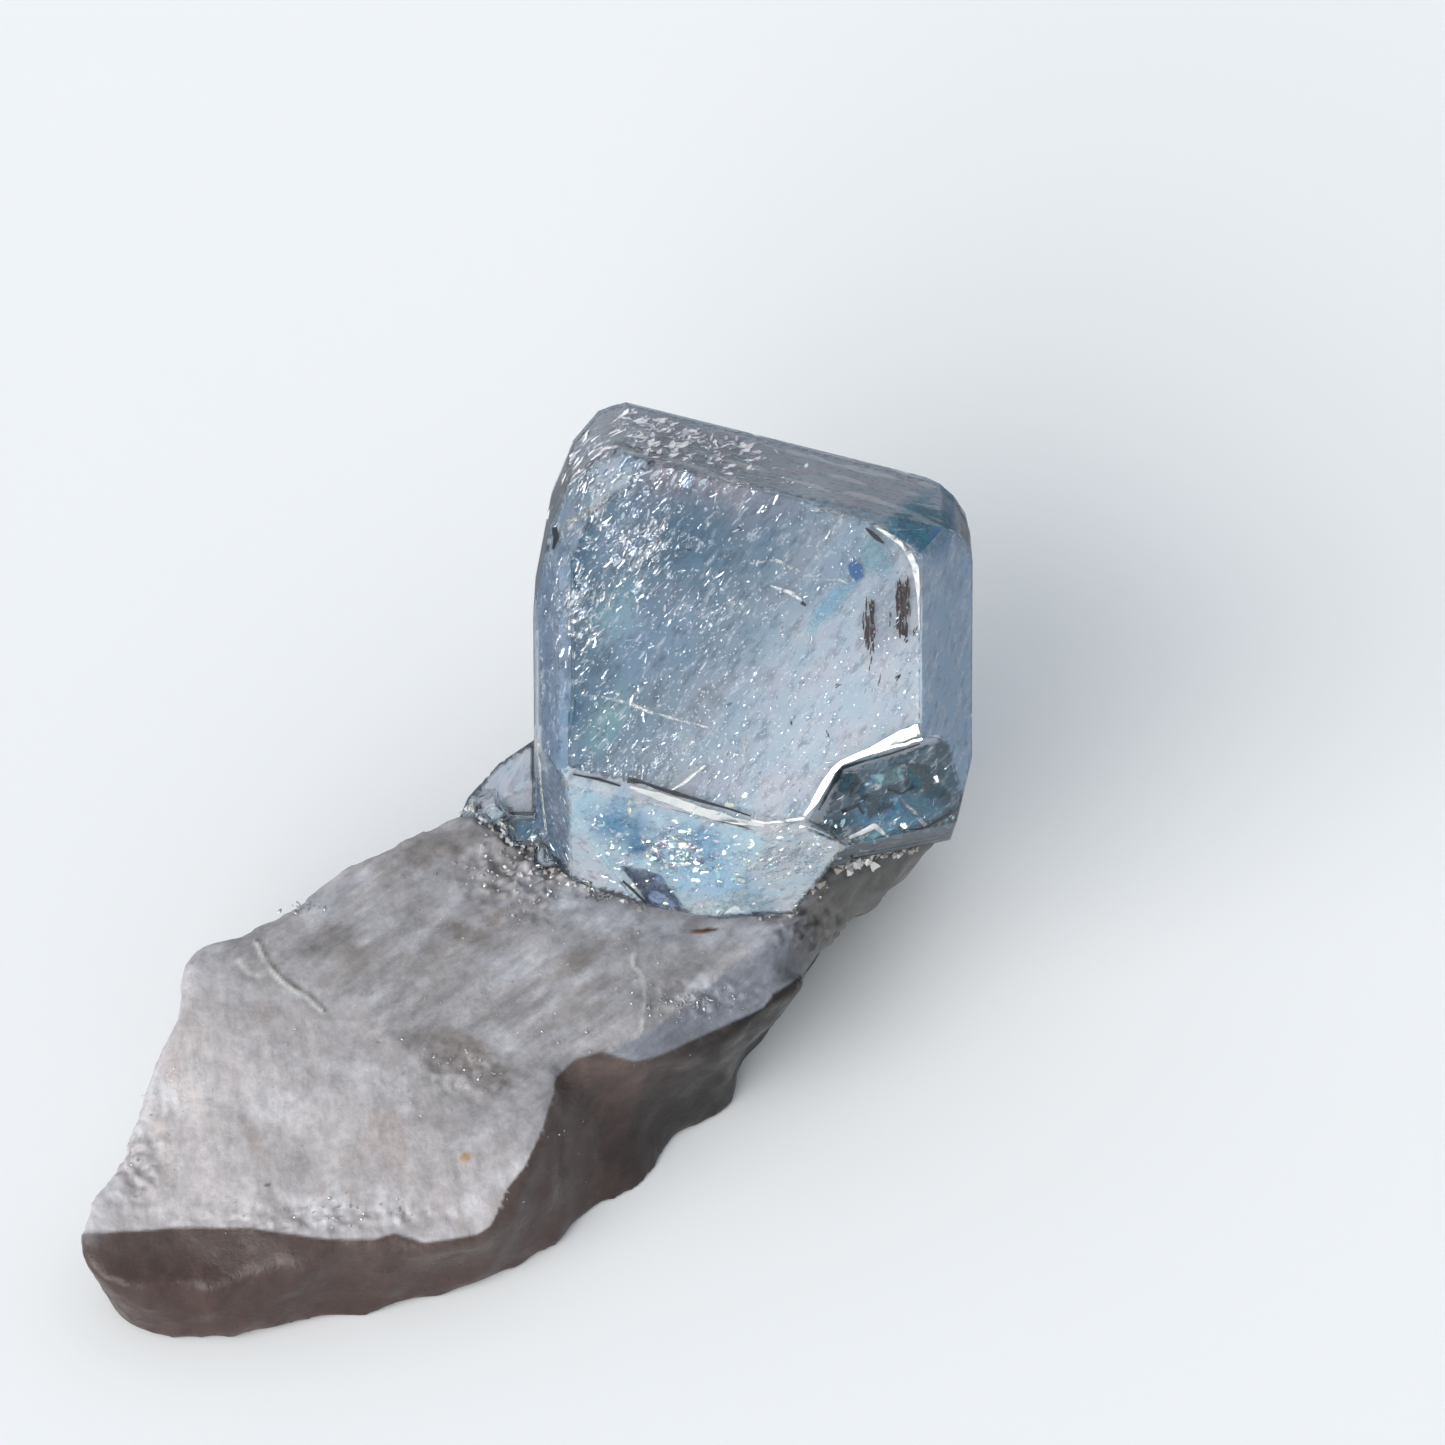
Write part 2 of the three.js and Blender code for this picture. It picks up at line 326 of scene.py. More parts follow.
# Zones of stronger colour under the faces: middle, half-lengths along and across, turn, colour and share
ZONES = [
    ((2.45, 2.05), (0.36, 0.22), 80, (0.42, 0.66, 0.74), 0.75),
    ((3.35, 2.6), (0.7, 0.3), 50, (0.06, 0.42, 0.6), 1.0),
    ((4.0, 2.35), (0.65, 0.36), 62, (0.1, 0.3, 0.58), 1.0),
    ((-3.05, 0.55), (0.8, 0.5), 60, (0.4, 0.66, 0.74), 0.85),
    ((-3.2, -1.75), (0.8, 0.35), 56, (0.38, 0.64, 0.65), 0.85),
    ((-2.2, 0.2), (1.6, 0.8), 54, (0.58, 0.7, 0.86), 0.4),
    ((-2.9, 2.3), (1.2, 0.5), 54, (0.5, 0.6, 0.78), 0.4),
    ((-3.0, -3.55), (0.45, 0.25), 60, (0.36, 0.62, 0.8), 0.7),
    ((-3.2, -5.5), (0.9, 0.32), 138, (0.97, 0.97, 0.99), 0.8),
    ((2.1, -3.3), (0.5, 0.3), 60, (0.2, 0.3, 0.38), 0.6),
    ((1.9, 1.7), (0.8, 0.45), 50, (0.38, 0.56, 0.72), 0.7),
    ((2.85, 0.55), (0.7, 0.45), 90, (0.52, 0.58, 0.68), 0.7),
    ((-1.25, -4.35), (0.6, 0.3), -25, (0.22, 0.52, 0.78), 0.8),
    ((3.1, -3.8), (0.9, 0.35), 8, (0.1, 0.36, 0.56), 0.9),
    ((-1.0, -5.1), (1.4, 0.55), -25, (0.5, 0.8, 1.0), 0.75),
    ((0.9, -4.9), (0.6, 0.3), -30, (0.96, 0.97, 0.98), 0.7),
    ((-2.55, -4.5), (0.2, 0.26), 100, (0.02, 0.11, 0.32), 0.8),
    ((-2.9, -4.15), (0.8, 0.42), -20, (0.22, 0.48, 0.7), 0.85),
    ((-2.15, -4.8), (0.24, 0.12), -30, (0.06, 0.2, 0.36), 0.9),
    ((2.5, -4.45), (0.55, 0.13), 30, (0.45, 0.9, 1.0), 0.9),
    ((3.0, -4.0), (0.5, 0.18), 10, (0.22, 0.5, 0.66), 0.7),
]

CHIP_WAY = (0.249, -0.322, 0.914)  # the way the chip's sunken facet looks, in the crystal's frame

# How the clouds under each group of faces look: the way the faces look in the crystal's frame, how near to it
# in degrees, the clouds' colour and how thick they are
CLOUDS = [
    ((0, 0, 1), 8, (0.915, 0.955, 1.0), 0.99),
    ((-0.073, -0.283, 0.956), 7, (0.9, 0.93, 0.96), 0.97),
    ((0.327, -0.829, 0.454), 10, (0.97, 0.98, 1.0), 1.0),
    ((0.786, -0.42, 0.454), 8, (0.97, 0.98, 1.0), 1.0),
    ((0.247, 0.969, 0), 12, (0.9, 0.91, 0.95), 0.97),
    ((-0.394, 0.919, 0), 11, (0.88, 0.9, 0.93), 0.96),
    ((-0.688, 0.725, 0), 11, (0.84, 0.89, 0.93), 0.96),
    # a facet on the left: painted shade, its clouds dark
    ((-0.916, 0.402, 0), 8, (0.16, 0.22, 0.26), 0.92),
    ((-0.982, 0.189, 0), 16, (0.52, 0.62, 0.72), 0.92),
    ((-0.684, 0.29, 0.669), 6, (0.42, 0.52, 0.62), 0.95),
    ((-0.616, 0, 0.788), 8, (0.4, 0.53, 0.67), 0.95),
    ((-0.374, 0.415, 0.829), 8, (0.8, 0.85, 0.9), 0.96),
    ((-0.839, 0, 0.545), 14, (0.2, 0.31, 0.46), 0.93),
    ((-0.853, -0.362, 0.375), 10, (0.3, 0.4, 0.52), 0.93),
    ((-0.682, 0.394, 0.616), 9, (0.8, 0.84, 0.89), 0.96),
    ((-0.287, -0.41, 0.866), 9, (0.76, 0.79, 0.82), 0.95),
    ((0.848, 0, 0.53), 8, (0.46, 0.63, 0.8), 0.92),
    ((0.444, 0.624, 0.643), 12, (0.16, 0.38, 0.58), 0.94),
    # the chip's sunken facet: painted shade, dark as the far side seen through it
    (CHIP_WAY, 3, (0.1, 0.18, 0.25), 0.95),
    ((0.23, -0.923, 0.309), 8, (0.3, 0.4, 0.48), 0.95),
    ((-0.154, -0.596, 0.788), 10, (0.8, 0.945, 1.0), 1.0),
    ((0.183, -0.683, 0.707), 14, (0.94, 0.97, 0.99), 1.0),
    ((-0.377, -0.654, 0.656), 12, (0.88, 0.93, 0.98), 0.98),
    ((0.78, 0.62, 0), 40, (0.58, 0.68, 0.76), 0.94),
]
PLAIN_CLOUD = ((0.8, 0.84, 0.88), 0.92)


ROOM = Vector((0.1, -0.95, 0.3)).normalized()  # toward the room in front
TEAL, PINK = (0.10, 0.25, 0.37), (0.66, 0.53, 0.56)  # toward the front's upper left, and at its top
CHIP_PAINTED_SHADE, CHIP_SEAM_LIGHT = (0.08, 0.13, 0.17), (0.42, 0.60, 0.68)  # painted shade in the cells under the chip, and painted light on the seams between


def bent(direction, looks):
    """The way light from a direction goes once it is through a face."""
    slope = (direction - looks * direction.dot(looks)) / IOR
    return slope + looks * math.sqrt(max(0.0, 1 - slope.length_squared))


def glint_way(looks):
    """The way a mirror under a face must look to show the soft box."""
    return (bent(BACK, looks) + bent(KEY, looks)).normalized()


def mirror_way(looks):
    """The way a mirror on a face must look to show the soft box, or the room if the face is away from it."""
    return (BACK + (KEY if looks.dot(KEY) > 0.05 else ROOM)).normalized()


def on_front(looks):
    return looks.dot(FRONT_WAY) > 0.99


def cloud_at(x, y, looks):
    """The colour and thickness of the clouds under a point of the picture."""
    way = TO_GROUND.to_3x3().inverted() @ looks
    colour, thick = PLAIN_CLOUD
    for toward, within, its_colour, its_thickness in CLOUDS:
        if way.angle(Vector(toward)) < math.radians(within):
            colour, thick = its_colour, its_thickness
            break
    if way.z > 0.99:  # the front
        colour = blend(TEAL, colour, smooth_step(-3.1, 2.9, 0.9 * x - 0.7 * y))
        colour = blend(colour, PINK, 0.95 * nearness(x, y + 0.25 * x, (-1.6, 3.5), (2.2, 0.8)))
    if way.angle(Vector(CHIP_WAY)) < math.radians(3):  # painted shade and light: cells like the far facets seen through it
        distances, cells = noise.voronoi(Vector((x * 1.5 + y * 0.6, y * 2.2, 1.7)))
        colour = blend(colour, CHIP_PAINTED_SHADE, 0.95 * abs(noise.cell(cells[0] * 9.1)))
        colour = blend(colour, CHIP_SEAM_LIGHT, 0.5 * smooth_step(0.10, 0.02, distances[1] - distances[0]))
    for middle, halves, turn, zone_colour, share in ZONES:
        reach = oval(x, y, middle, halves, turn) + 0.35 * noise.noise(Vector((x * 1.7, y * 1.7, 3.1)))
        colour = blend(colour, zone_colour, share * smooth_step(1.5, 0.3, reach))
    return colour, thick


CLOUD_STEP = 0.06
COLUMNS, ROWS = (-126, 84), (-108, 96)  # where the grid of steps begins and ends, across and up
# The sheets of cloud: depth below the surface, share of the thickness, grid steps to a cell, and from behind
CLOUD_LAYERS = [(0.20, 0.9, 1, False), (0.62, 0.95, 2, False), (0.5, 0.9, 2, True)]
LARGEST_STEP, LARGEST_STEP_BEHIND = 1.1, 2.5  # down the line of sight, between the corners of a cell
LEAST_COVER = 0.03
SIDE_DEPTH = 0.45  # of the depth under the front, under every other face
SHEET = 0.012  # thickness of a sheet, ribbon, pane or flake
CLEAR = 0.012  # least depth of what lies inside


def cloud_points(solid, depth, share, steps, behind):
    """One layer of cloud as a grid of points, with their colours, where the crystal is deep enough."""
    points = {}
    way = BACK if behind else -BACK
    for i in range(COLUMNS[0] // steps, COLUMNS[1] // steps):
        for j in range(ROWS[0] // steps, ROWS[1] // steps):
            x, y = i * CLOUD_STEP * steps, j * CLOUD_STEP * steps
            place, looks = solid.seen(x, y, behind)
            if place is None:
                continue
            wave = 0.05 * noise.noise(Vector((x * 0.8, y * 0.8, depth * 9)))
            nearer = 1 if on_front(looks) else SIDE_DEPTH
            point = place + way * nearer * (depth + wave) / max(0.3, -looks.dot(way))
            cover = solid.depth(point)
            if cover < LEAST_COVER:
                continue
            colour, thick = cloud_at(x, y, looks)
            thick *= share * smooth_step(LEAST_COVER, 2.5 * LEAST_COVER, cover)
            points[i, j] = (point, (*colour, thick))
    for (i, j), (point, (*colour, _)) in list(points.items()):
        if not all((i + a, j + b) in points for a in (-1, 0, 1) for b in (-1, 0, 1)):
            points[i, j] = (point, (*colour, 0.0))  # so that the sheet fades out at its rim
    return points


def add_sheet(solid, points, faces, colours, grid, way):
    """A thin closed sheet through a grid of points."""
    largest = LARGEST_STEP if way.dot(BACK) < 0 else LARGEST_STEP_BEHIND
    cells = []
    for i, j in grid:
        corners = [(i, j), (i + 1, j), (i + 1, j + 1), (i, j + 1)]
        if all(corner in grid for corner in corners):
            heights = [grid[corner][0].dot(BACK) for corner in corners]
            middle = sum((grid[corner][0] for corner in corners), Vector()) / 4
            if max(heights) - min(heights) < largest and solid.depth(middle) > 0:
                cells.append(corners)
    index, edges = {}, {}
    for corners in cells:
        for corner in corners:
            if corner not in index:
                index[corner] = len(points)
                point, colour = grid[corner]
                points.extend([point, point + way * SHEET])
                colours.extend([colour, colour])
        top = [index[corner] for corner in corners]
        faces.append(tuple(top))
        faces.append(tuple(k + 1 for k in reversed(top)))
        edges.update(dict.fromkeys(zip(top, top[1:] + top[:1])))
    faces.extend((b, a, a + 1, b + 1) for a, b in edges if (b, a) not in edges)


def make_clouds(solid):
    points, faces, colours = [], [], []
    for depth, share, steps, behind in CLOUD_LAYERS:
        grid = cloud_points(solid, depth, share, steps, behind)
        add_sheet(solid, points, faces, colours, grid, BACK if behind else -BACK)
    new_piece("euclase_clouds", points, faces, colours, cloud_material())


PINKISH, BLUISH = (1.0, 0.945, 0.985, 1), (0.90, 0.965, 1.0, 1)
STROKES, WISPS = (0.66, 0.74, 0.84, 1), (0.97, 0.98, 1.0, 1)


def cloud_material():
    """Streaky clouds, as thick as the tint's alpha has them."""
    material, nodes = new_material("clouds")
    tint, streaks = nodes.attribute(), nodes.along(GROWTH_TURN, 2.6)
    coarse, fine = (nodes.noise(streaks, scale, 4.0, 0.65) for scale in (1.9, 5.0))

    def join(a, b):
        return nodes.math("MULTIPLY", a, b, clamp=True)

    cover = join(nodes.ramp(coarse, 0.33, 0.67, 0.8, 1.25), nodes.ramp(fine, 0.33, 0.67, 0.6, 1.5))
    # pinkish and bluish clouds, darker strokes between them, and thin white wisps
    hue = nodes.mix("MIX", nodes.ramp(coarse, 0.40, 0.60), PINKISH, BLUISH, True)
    strokes = join(nodes.ramp(fine, 0.35, 0.50, 0.75, 0.0), nodes.ramp(coarse, 0.42, 0.58, 0.1, 1.0))
    colour = nodes.mix("MULTIPLY", 1.0, tint["Color"], hue, True)
    colour = nodes.mix("MULTIPLY", strokes, colour, STROKES, True)
    wisps = join(nodes.ramp(coarse, 0.47, 0.50), nodes.ramp(coarse, 0.50, 0.53, 1.0, 0.0))
    wisps = join(wisps, nodes.ramp(fine, 0.47, 0.62, 0.0, 0.9))
    colour = nodes.mix("MIX", wisps, colour, WISPS, True)
    nodes.shade(Base_Color=colour, Alpha=join(tint["Alpha"], cover), Roughness=0.6, Specular_IOR_Level=0.0)
    return material


VEIL_DEPTH = 0.11
VEIL_COLOURS = [(0.68, 0.73, 0.80), (0.54, 0.62, 0.78), (0.72, 0.68, 0.72)]
LOWER_VEIL = (0.50, 0.66, 0.80)
VEIL_STEPS = 2  # of the grid to a cell


def make_veils(solid):
    """One sheet of streaks under the faces that show them."""
    grid = {}
    for (i, j), (point, _) in cloud_points(solid, VEIL_DEPTH, 1.0, VEIL_STEPS, False).items():
        x, y = i * CLOUD_STEP * VEIL_STEPS, j * CLOUD_STEP * VEIL_STEPS
        lower = y < height_on(LOWER_EDGE, x)
        share, _ = crowding(x, y, LOWER_CROWDS if lower else CROWDS, 0.05)
        shade = noise.noise(Vector((x * 2.3, y * 2.3, 8.0)))
        colour = blend(VEIL_COLOURS[0], VEIL_COLOURS[1 if shade < 0 else 2], min(1.0, 2.5 * abs(shade)))
        if lower:
            colour = blend(colour, LOWER_VEIL, 0.7)
            hue = noise.noise(Vector((x * 5.5, y * 5.5, 2.0)))
            colour = blend(colour, RAINBOW[0] if hue > 0.1 else RAINBOW[2], min(1.0, 2.0 * abs(hue)))
        grid[i, j] = (point, (*colour, min(1.0, share)))
    points, faces, colours = [], [], []
    add_sheet(solid, points, faces, colours, grid, -BACK)
    new_piece("euclase_veils", points, faces, colours, veil_material())


def veil_material():
    """Flashing cracks: a rough mirror in streaks, closer together where the tint's alpha is high."""
    material, nodes = new_material("veils")
    tint, streaks = nodes.attribute(), nodes.along(GROWTH_TURN, 1.7)
    crowd = nodes.math("MULTIPLY_ADD", tint["Alpha"], 0.19, nodes.noise(streaks, 5.5, 4.0, 0.75))
    lean = (glint_way(FRONT_WAY) - FRONT_WAY) * 0.7
    way = nodes.vector("NORMALIZE", nodes.vector("ADD", nodes.add("NewGeometry").outputs["Normal"], lean))
    normal = nodes.bump(nodes.noise(streaks, 12.0, 0.0, 0.5), 1.0, way)
    nodes.shade(Base_Color=tint["Color"], Metallic=1.0, Roughness=0.3, Normal=normal)
    nodes.shade(Alpha=nodes.ramp(crowd, 0.66, 0.78, 0.0, 0.8))
    return material


# Flakes in the crystal: growth streaks and cracks that flash, pale flakes painted as flashes, dark needles
# and specks, and painted shade along edges

FLAKE_SIDES = 5
STOP_STEP = 0.08  # along a ribbon
LARGEST_GAP = 0.4  # between two stops of a ribbon
PANE_DEPTH, PANE_APART = 0.03, 0.002
PANE_RIM = 0.2  # of how thick a pane looks inside, at its rim


def stops_along(line, step=None):
    """Points along a line but for its last, a step apart or four to a stretch."""
    stops = []
    for (x0, y0), (x1, y1) in zip(line, line[1:]):
        parts = max(1, round(math.hypot(x1 - x0, y1 - y0) / step)) if step else 4
        stops += [(x0 + (x1 - x0) * k / parts, y0 + (y1 - y0) * k / parts) for k in range(parts)]
    return stops


class Flakes:
    """Small closed bodies in or on a solid, gathered to be one piece."""

    def __init__(self, solid, seed=1):
        self.solid = solid
        self.rng = random.Random(seed)
        self.points, self.faces, self.colours, self.ways = [], [], [], []

    def note(self, points, colour, way):
        """Adds points, all with one colour, that a mirror's way goes with."""
        self.points.extend(points)
        self.colours.extend([colour] * len(points))
        self.ways.extend([way] * len(points))

    def under(self, x, y, depth, flattest):
        """The place at a depth below a point of the picture, or above it where that is less than nothing,
        whether it may be used, and the way the surface looks."""
        top, looks = self.solid.seen(x, y)
        if top is None:
            return None, False, looks
        point = top - BACK * depth / max(flattest, looks.dot(BACK))
        return point, depth < 0 or self.solid.depth(point) > CLEAR, looks

    def add(self, at, along, facing, length, width, thick, colour, metal=1.0, outside=False):
        """A ragged flake, as a flat double pyramid, if it is wholly inside the solid or may stand out."""
        facing = facing.normalized()
        along = (along - facing * along.dot(facing)).normalized()
        side = facing.cross(along)
        rim = []
        for k in range(FLAKE_SIDES):
            turn = (k + self.rng.uniform(-0.3, 0.3)) * math.tau / FLAKE_SIDES
            reach = self.rng.uniform(0.75, 1.1)
            rim.append(at + (along * math.cos(turn) * length + side * math.sin(turn) * width) * reach / 2)
        if self.solid and not outside and any(self.solid.depth(corner) < CLEAR for corner in rim):
            return False
        first = len(self.points)
        self.note(rim + [at + facing * thick / 2, at - facing * thick / 2], (*colour, metal), facing)
        for k in range(FLAKE_SIDES):
            here, after = first + k, first + (k + 1) % FLAKE_SIDES
            self.faces.append((here, after, first + FLAKE_SIDES))
            self.faces.append((after, here, first + FLAKE_SIDES + 1))
        return True

    def add_ribbon(self, line, width, colour, whole, depth):
        """A thin closed ribbon along a line in the picture."""
        stops = stops_along(line, STOP_STEP) + [line[-1]]
        rows = []
        for k, (x, y) in enumerate(stops):
            (xa, ya), (xb, yb) = stops[max(0, k - 1)], stops[min(len(stops) - 1, k + 1)]
            long = math.hypot(xb - xa, yb - ya)
            place = k / (len(stops) - 1)
            half = height_on([(1 - at, size) for at, size in width], 1 - place) / 2
            half *= 1 + 0.25 * noise.noise(Vector((x * 5, y * 5, width[0][1])))
            row = []
            for side in (half, -half):
                left_x, left_y = x - side * (yb - ya) / long, y + side * (xb - xa) / long
                point, fits, looks = self.under(left_x, left_y, depth, 0.25)
                if fits:
                    row.append(point)
            if len(row) == 2 and (not rows or (row[0] - rows[-1][0]).length < LARGEST_GAP):
                rows.append((*row, mirror_way(looks) if depth < 0 else glint_way(looks)))
        first = len(self.points)
        for left, right, way in rows:
            self.note([left, right, left - BACK * SHEET, right - BACK * SHEET], (*colour, whole), way)
        for a in range(first, len(self.points) - 4, 4):
            b = a + 4
            self.faces += [(a + 1, a, b, b + 1), (a + 2, a + 3, b + 3, b + 2)]
            self.faces += [(a, a + 2, b + 2, b), (a + 3, a + 1, b + 1, b + 3)]
        if len(rows) > 1:
            last = len(self.points) - 4
            self.faces += [(first, first + 1, first + 3, first + 2), (last + 1, last, last + 2, last + 3)]

    def add_pane(self, corners, colour, thick, depth):
        """A thin closed pane under the surface, with its corners given in the picture."""
        stops = stops_along(corners + corners[:1])
        mid_x, mid_y = (sum(corner[k] for corner in corners) / len(corners) for k in (0, 1))
        first, count = len(self.points), len(stops)
        stops += [(x + 0.3 * (mid_x - x), y + 0.3 * (mid_y - y)) for x, y in stops] + [(mid_x, mid_y)]
        for index, (x, y) in enumerate(stops):
            for _ in range(20):  # draws a stop in until it is inside
                point, fits, looks = self.under(x, y, depth, 0.3)
                if fits:
                    break
                x, y = x + 0.05 * (mid_x - x), y + 0.05 * (mid_y - y)
            cover = thick if index >= count else PANE_RIM * thick
            self.note([point, point - BACK * SHEET], (*colour, cover), looks)
        middle = first + 4 * count
        for k in range(count):
            here, after = first + 2 * k, first + 2 * ((k + 1) % count)
            inner, beyond = here + 2 * count, after + 2 * count
            self.faces += [(here, inner, beyond, after), (after + 1, beyond + 1, inner + 1, here + 1)]
            self.faces += [(inner, middle, beyond), (beyond + 1, middle + 1, inner + 1)]
            self.faces.append((here, after, after + 1, here + 1))

    def piece(self, name, material, slot="euclase"):
        made = new_piece(name, self.points, self.faces, self.colours, material)
        tint_mesh(made.data, [(*(way * 0.5 + Vector((0.5, 0.5, 0.5))), 1) for way in self.ways], "facing")


def flake_material(name, roughness, mirrors=True):
    """The tint's colour, with mirrors, where there are any, as bright as its alpha has them."""
    material, nodes = new_material(name)
    tint = nodes.attribute()
    nodes.shade(Base_Color=tint["Color"], Roughness=roughness)
    if mirrors:
        nodes.shade(Metallic=tint["Alpha"])
    else:
        nodes.shade(Specular_IOR_Level=0.1)
    return material


def ribbon_material():
    """Bright edges: a rough mirror that looks at the soft box, whole or broken as the tint's alpha has it."""
    material, nodes = new_material("bright_edges")
    tint = nodes.attribute()
    whole = nodes.math("MULTIPLY_ADD", nodes.noise(nodes.place(), 7.0 / MM, 4.0, 0.6), 0.5, tint["Alpha"])
    way = nodes.vector("MULTIPLY_ADD", nodes.attribute("facing")["Vector"], (2, 2, 2), (-1, -1, -1))
    nodes.shade(Base_Color=tint["Color"], Metallic=1.0, Roughness=0.3, Normal=nodes.vector("NORMALIZE", way))
    nodes.shade(Alpha=nodes.ramp(whole, 0.62, 0.78))
    return material


def pane_material():
    """A pale or dark film, patchy, as thick as the tint's alpha has it."""
    material, nodes = new_material("panes")
    tint = nodes.attribute()
    patchy = nodes.ramp(nodes.noise(nodes.place(), 5.0 / MM, 5.0, 0.7), 0.36, 0.60, 0.25, 1.15)
    nodes.shade(Base_Color=tint["Color"], Alpha=nodes.math("MULTIPLY", patchy, tint["Alpha"]))
    nodes.shade(Roughness=0.6, Specular_IOR_Level=0.0)
    return material


# Where the streaks crowd: middle, half-width and half-height, share, and how much longer they are
CROWDS = [
    ((-2.1, 4.4), (1.3, 0.5), 0.9, 1.6),
    ((-0.6, 4.2), (0.9, 0.35), 0.9, 1.7),
    ((-2.3, 3.6), (1.4, 0.6), 0.5, 1.3),
    ((-3.8, 3.4), (0.7, 1.1), 0.65, 1.0),
    ((-2.4, 2.1), (0.9, 0.7), 0.85, 1.0),
    ((-3.9, 0.5), (0.45, 0.9), 1.0, 1.0),
    ((-3.2, 1.4), (1.3, 1.3), 0.28, 1.0),
    ((-1.2, 0.6), (1.3, 0.9), 0.4, 0.8),
    ((-2.6, -2.6), (1.3, 0.6), 0.6, 0.8),
    ((0.2, 3.3), (0.9, 0.45), 0.5, 1.2),
    ((-3.3, -1.2), (0.7, 0.6), 0.35, 0.8),
    ((-1.1, 3.7), (1.1, 0.7), 0.4, 1.1),
    ((-0.2, -2.9), (1.3, 0.7), 0.4, 0.7),
    ((1.8, -1.5), (1.6, 1.2), 0.1, 0.5),
    ((2.6, -3.7), (1.0, 0.5), 0.03, 0.5),
    ((-5.6, -3.6), (0.8, 0.6), 0.45, 0.7),
]
LOWER_CROWDS = [  # the same, under the lower faces
    ((-1.8, -4.55), (0.5, 0.45), 1.0, 1.2),
    ((-0.9, -4.9), (1.3, 0.55), 0.6, 0.85),
    ((0.9, -4.8), (0.8, 0.5), 0.85, 0.65),
    ((-3.3, -4.2), (0.5, 0.6), 0.35, 0.8),
    ((-3.0, -5.3), (0.6, 0.4), 0.3, 0.6),
    ((-5.4, -4.2), (0.7, 0.5), 0.5, 0.7),
]
TOP_GLINT_PAINT = [  # the same, for pale flakes painted as glints on the steep faces at the top
    ((-2.6, 4.6), (1.5, 0.7), 0.9, 1.3),
    ((-0.6, 4.2), (0.9, 0.5), 0.7, 1.5),
    ((-4.0, 3.9), (0.5, 0.8), 0.5, 1.0),
    ((-2.5, 4.75), (0.28, 0.3), 0.9, 1.5),
    ((-1.5, 4.3), (0.3, 0.32), 0.9, 1.5),
    ((-0.1, 4.3), (0.4, 0.18), 0.9, 1.4),
]
TOP_GLINT_PAINT_COLOURS = [
    (0.95, 0.95, 0.97), (0.8, 0.8, 0.86), (0.84, 0.74, 0.76), (0.36, 0.37, 0.43), (0.3, 0.31, 0.38),
    (0.95, 0.95, 0.97), (0.6, 0.58, 0.66),
]
WHITES = [(0.92, 0.96, 1.0)] * 6 + [(1.0, 0.95, 0.94), (0.82, 0.94, 1.0), (0.88, 0.9, 1.0)]
RAINBOW = [(1.0, 0.8, 0.96), (1.0, 0.97, 0.72), (0.7, 0.95, 1.0), (0.85, 1.0, 0.92), (1, 1, 1), (1, 1, 1)]


def crowding(x, y, crowds, least):
    share, longer = least, 1.0
    for middle, halves, its_share, its_length in crowds:
        near = nearness(x, y, middle, halves)
        share += its_share * near
        longer += (its_length - 1) * near
    return share, longer


def scatter(rng, wanted, tries_each, across, up, add_one):
    """Tries random points of the picture until enough of them got a flake."""
    made = tries = 0
    while made < wanted and tries < tries_each * wanted:
        tries += 1
        made += add_one(rng.uniform(*across), rng.uniform(*up))


LEAST_DEPTH = 0.035
FRONT_DEEPER, SIDE_DEEPER = 0.12, 0.03  # what the streaks' depth has beyond that on average
DULL_DEEPER = 0.05  # what a streak that is no mirror has besides, under the front
TRUE_SHARE = 0.55  # of the streaks that lie true to the way that flashes
MIRROR_SHARE = 0.7  # of the streaks that could be mirrors, those that are


def add_streaks(flakes, rng, crowds, least, wanted, up, colours, spread, slim):
    """Streaks along the growth lines, some of them mirrors that flash, the rest pale flakes painted as softer
    flashes.
    """

    def add_one(x, y):
        share, longer = crowding(x, y, crowds, least)
        if rng.random() > share:
            return False
        place, looks = flakes.solid.seen(x, y)
        if place is None:
            return False
        front = on_front(looks)
        depth = LEAST_DEPTH + rng.expovariate(1 / (FRONT_DEEPER if front else SIDE_DEEPER))
        true = rng.random() < TRUE_SHARE
        jitter = shaken(rng, 0.05 if true else 0.35)
        turn = GROWTH_TURN + rng.gauss(0, spread)
        length = longer * (0.05 + 0.28 * rng.random() ** 2.4)
        width = length * rng.uniform(*slim)
        lit = looks.dot(KEY) > 0.25
        # a streak that is no mirror is a pale flake painted as a softer flash
        metal = 1.0 if lit and rng.random() < MIRROR_SHARE and (true or front) else 0.0
        shade = rng.uniform(0.5, 1.0) if metal else 1.0
        if front and not metal:
            depth += DULL_DEEPER
        sight = bent(BACK, looks)
        facing = (glint_way(looks) if metal else sight) + jitter
        colour = blend((0, 0, 0), rng.choice(colours), shade)
        return flakes.add(place - sight * depth, on_sight(turn), facing, length, width, SHEET, colour, metal)

    scatter(rng, wanted, 40, (-5, 5), up, add_one)


def add_top_glint_paint(flakes, rng, wanted):
    """Pale flakes, painted as glints, that stand on the steep faces at the top, where the streaks run over
    the edge.
    """

    def add_one(x, y):
        share, longer = crowding(x, y, TOP_GLINT_PAINT, 0.04)
        share *= smooth_step(-0.35, 0.25, noise.noise(Vector((x * 1.9, y * 2.6, 1.0))))
        place, looks = flakes.solid.seen(x, y)
        if rng.random() > share or place is None or looks.dot(BACK) > 0.5:
            return False
        if flakes.solid.seen(x, y + 0.22)[0] is None:  # too near the outline
            return False
        length = longer * (0.05 + 0.32 * rng.random() ** 2.2)
        return flakes.add(place, on_sight(GROWTH_TURN + rng.gauss(0, 0.35)), 1.6 * looks + BACK, length,
                          length * rng.uniform(0.12, 0.40), SHEET, rng.choice(TOP_GLINT_PAINT_COLOURS), 0.0, True)

    scatter(rng, wanted, 60, (-4.7, 1.2), (2.6, 5.3), add_one)


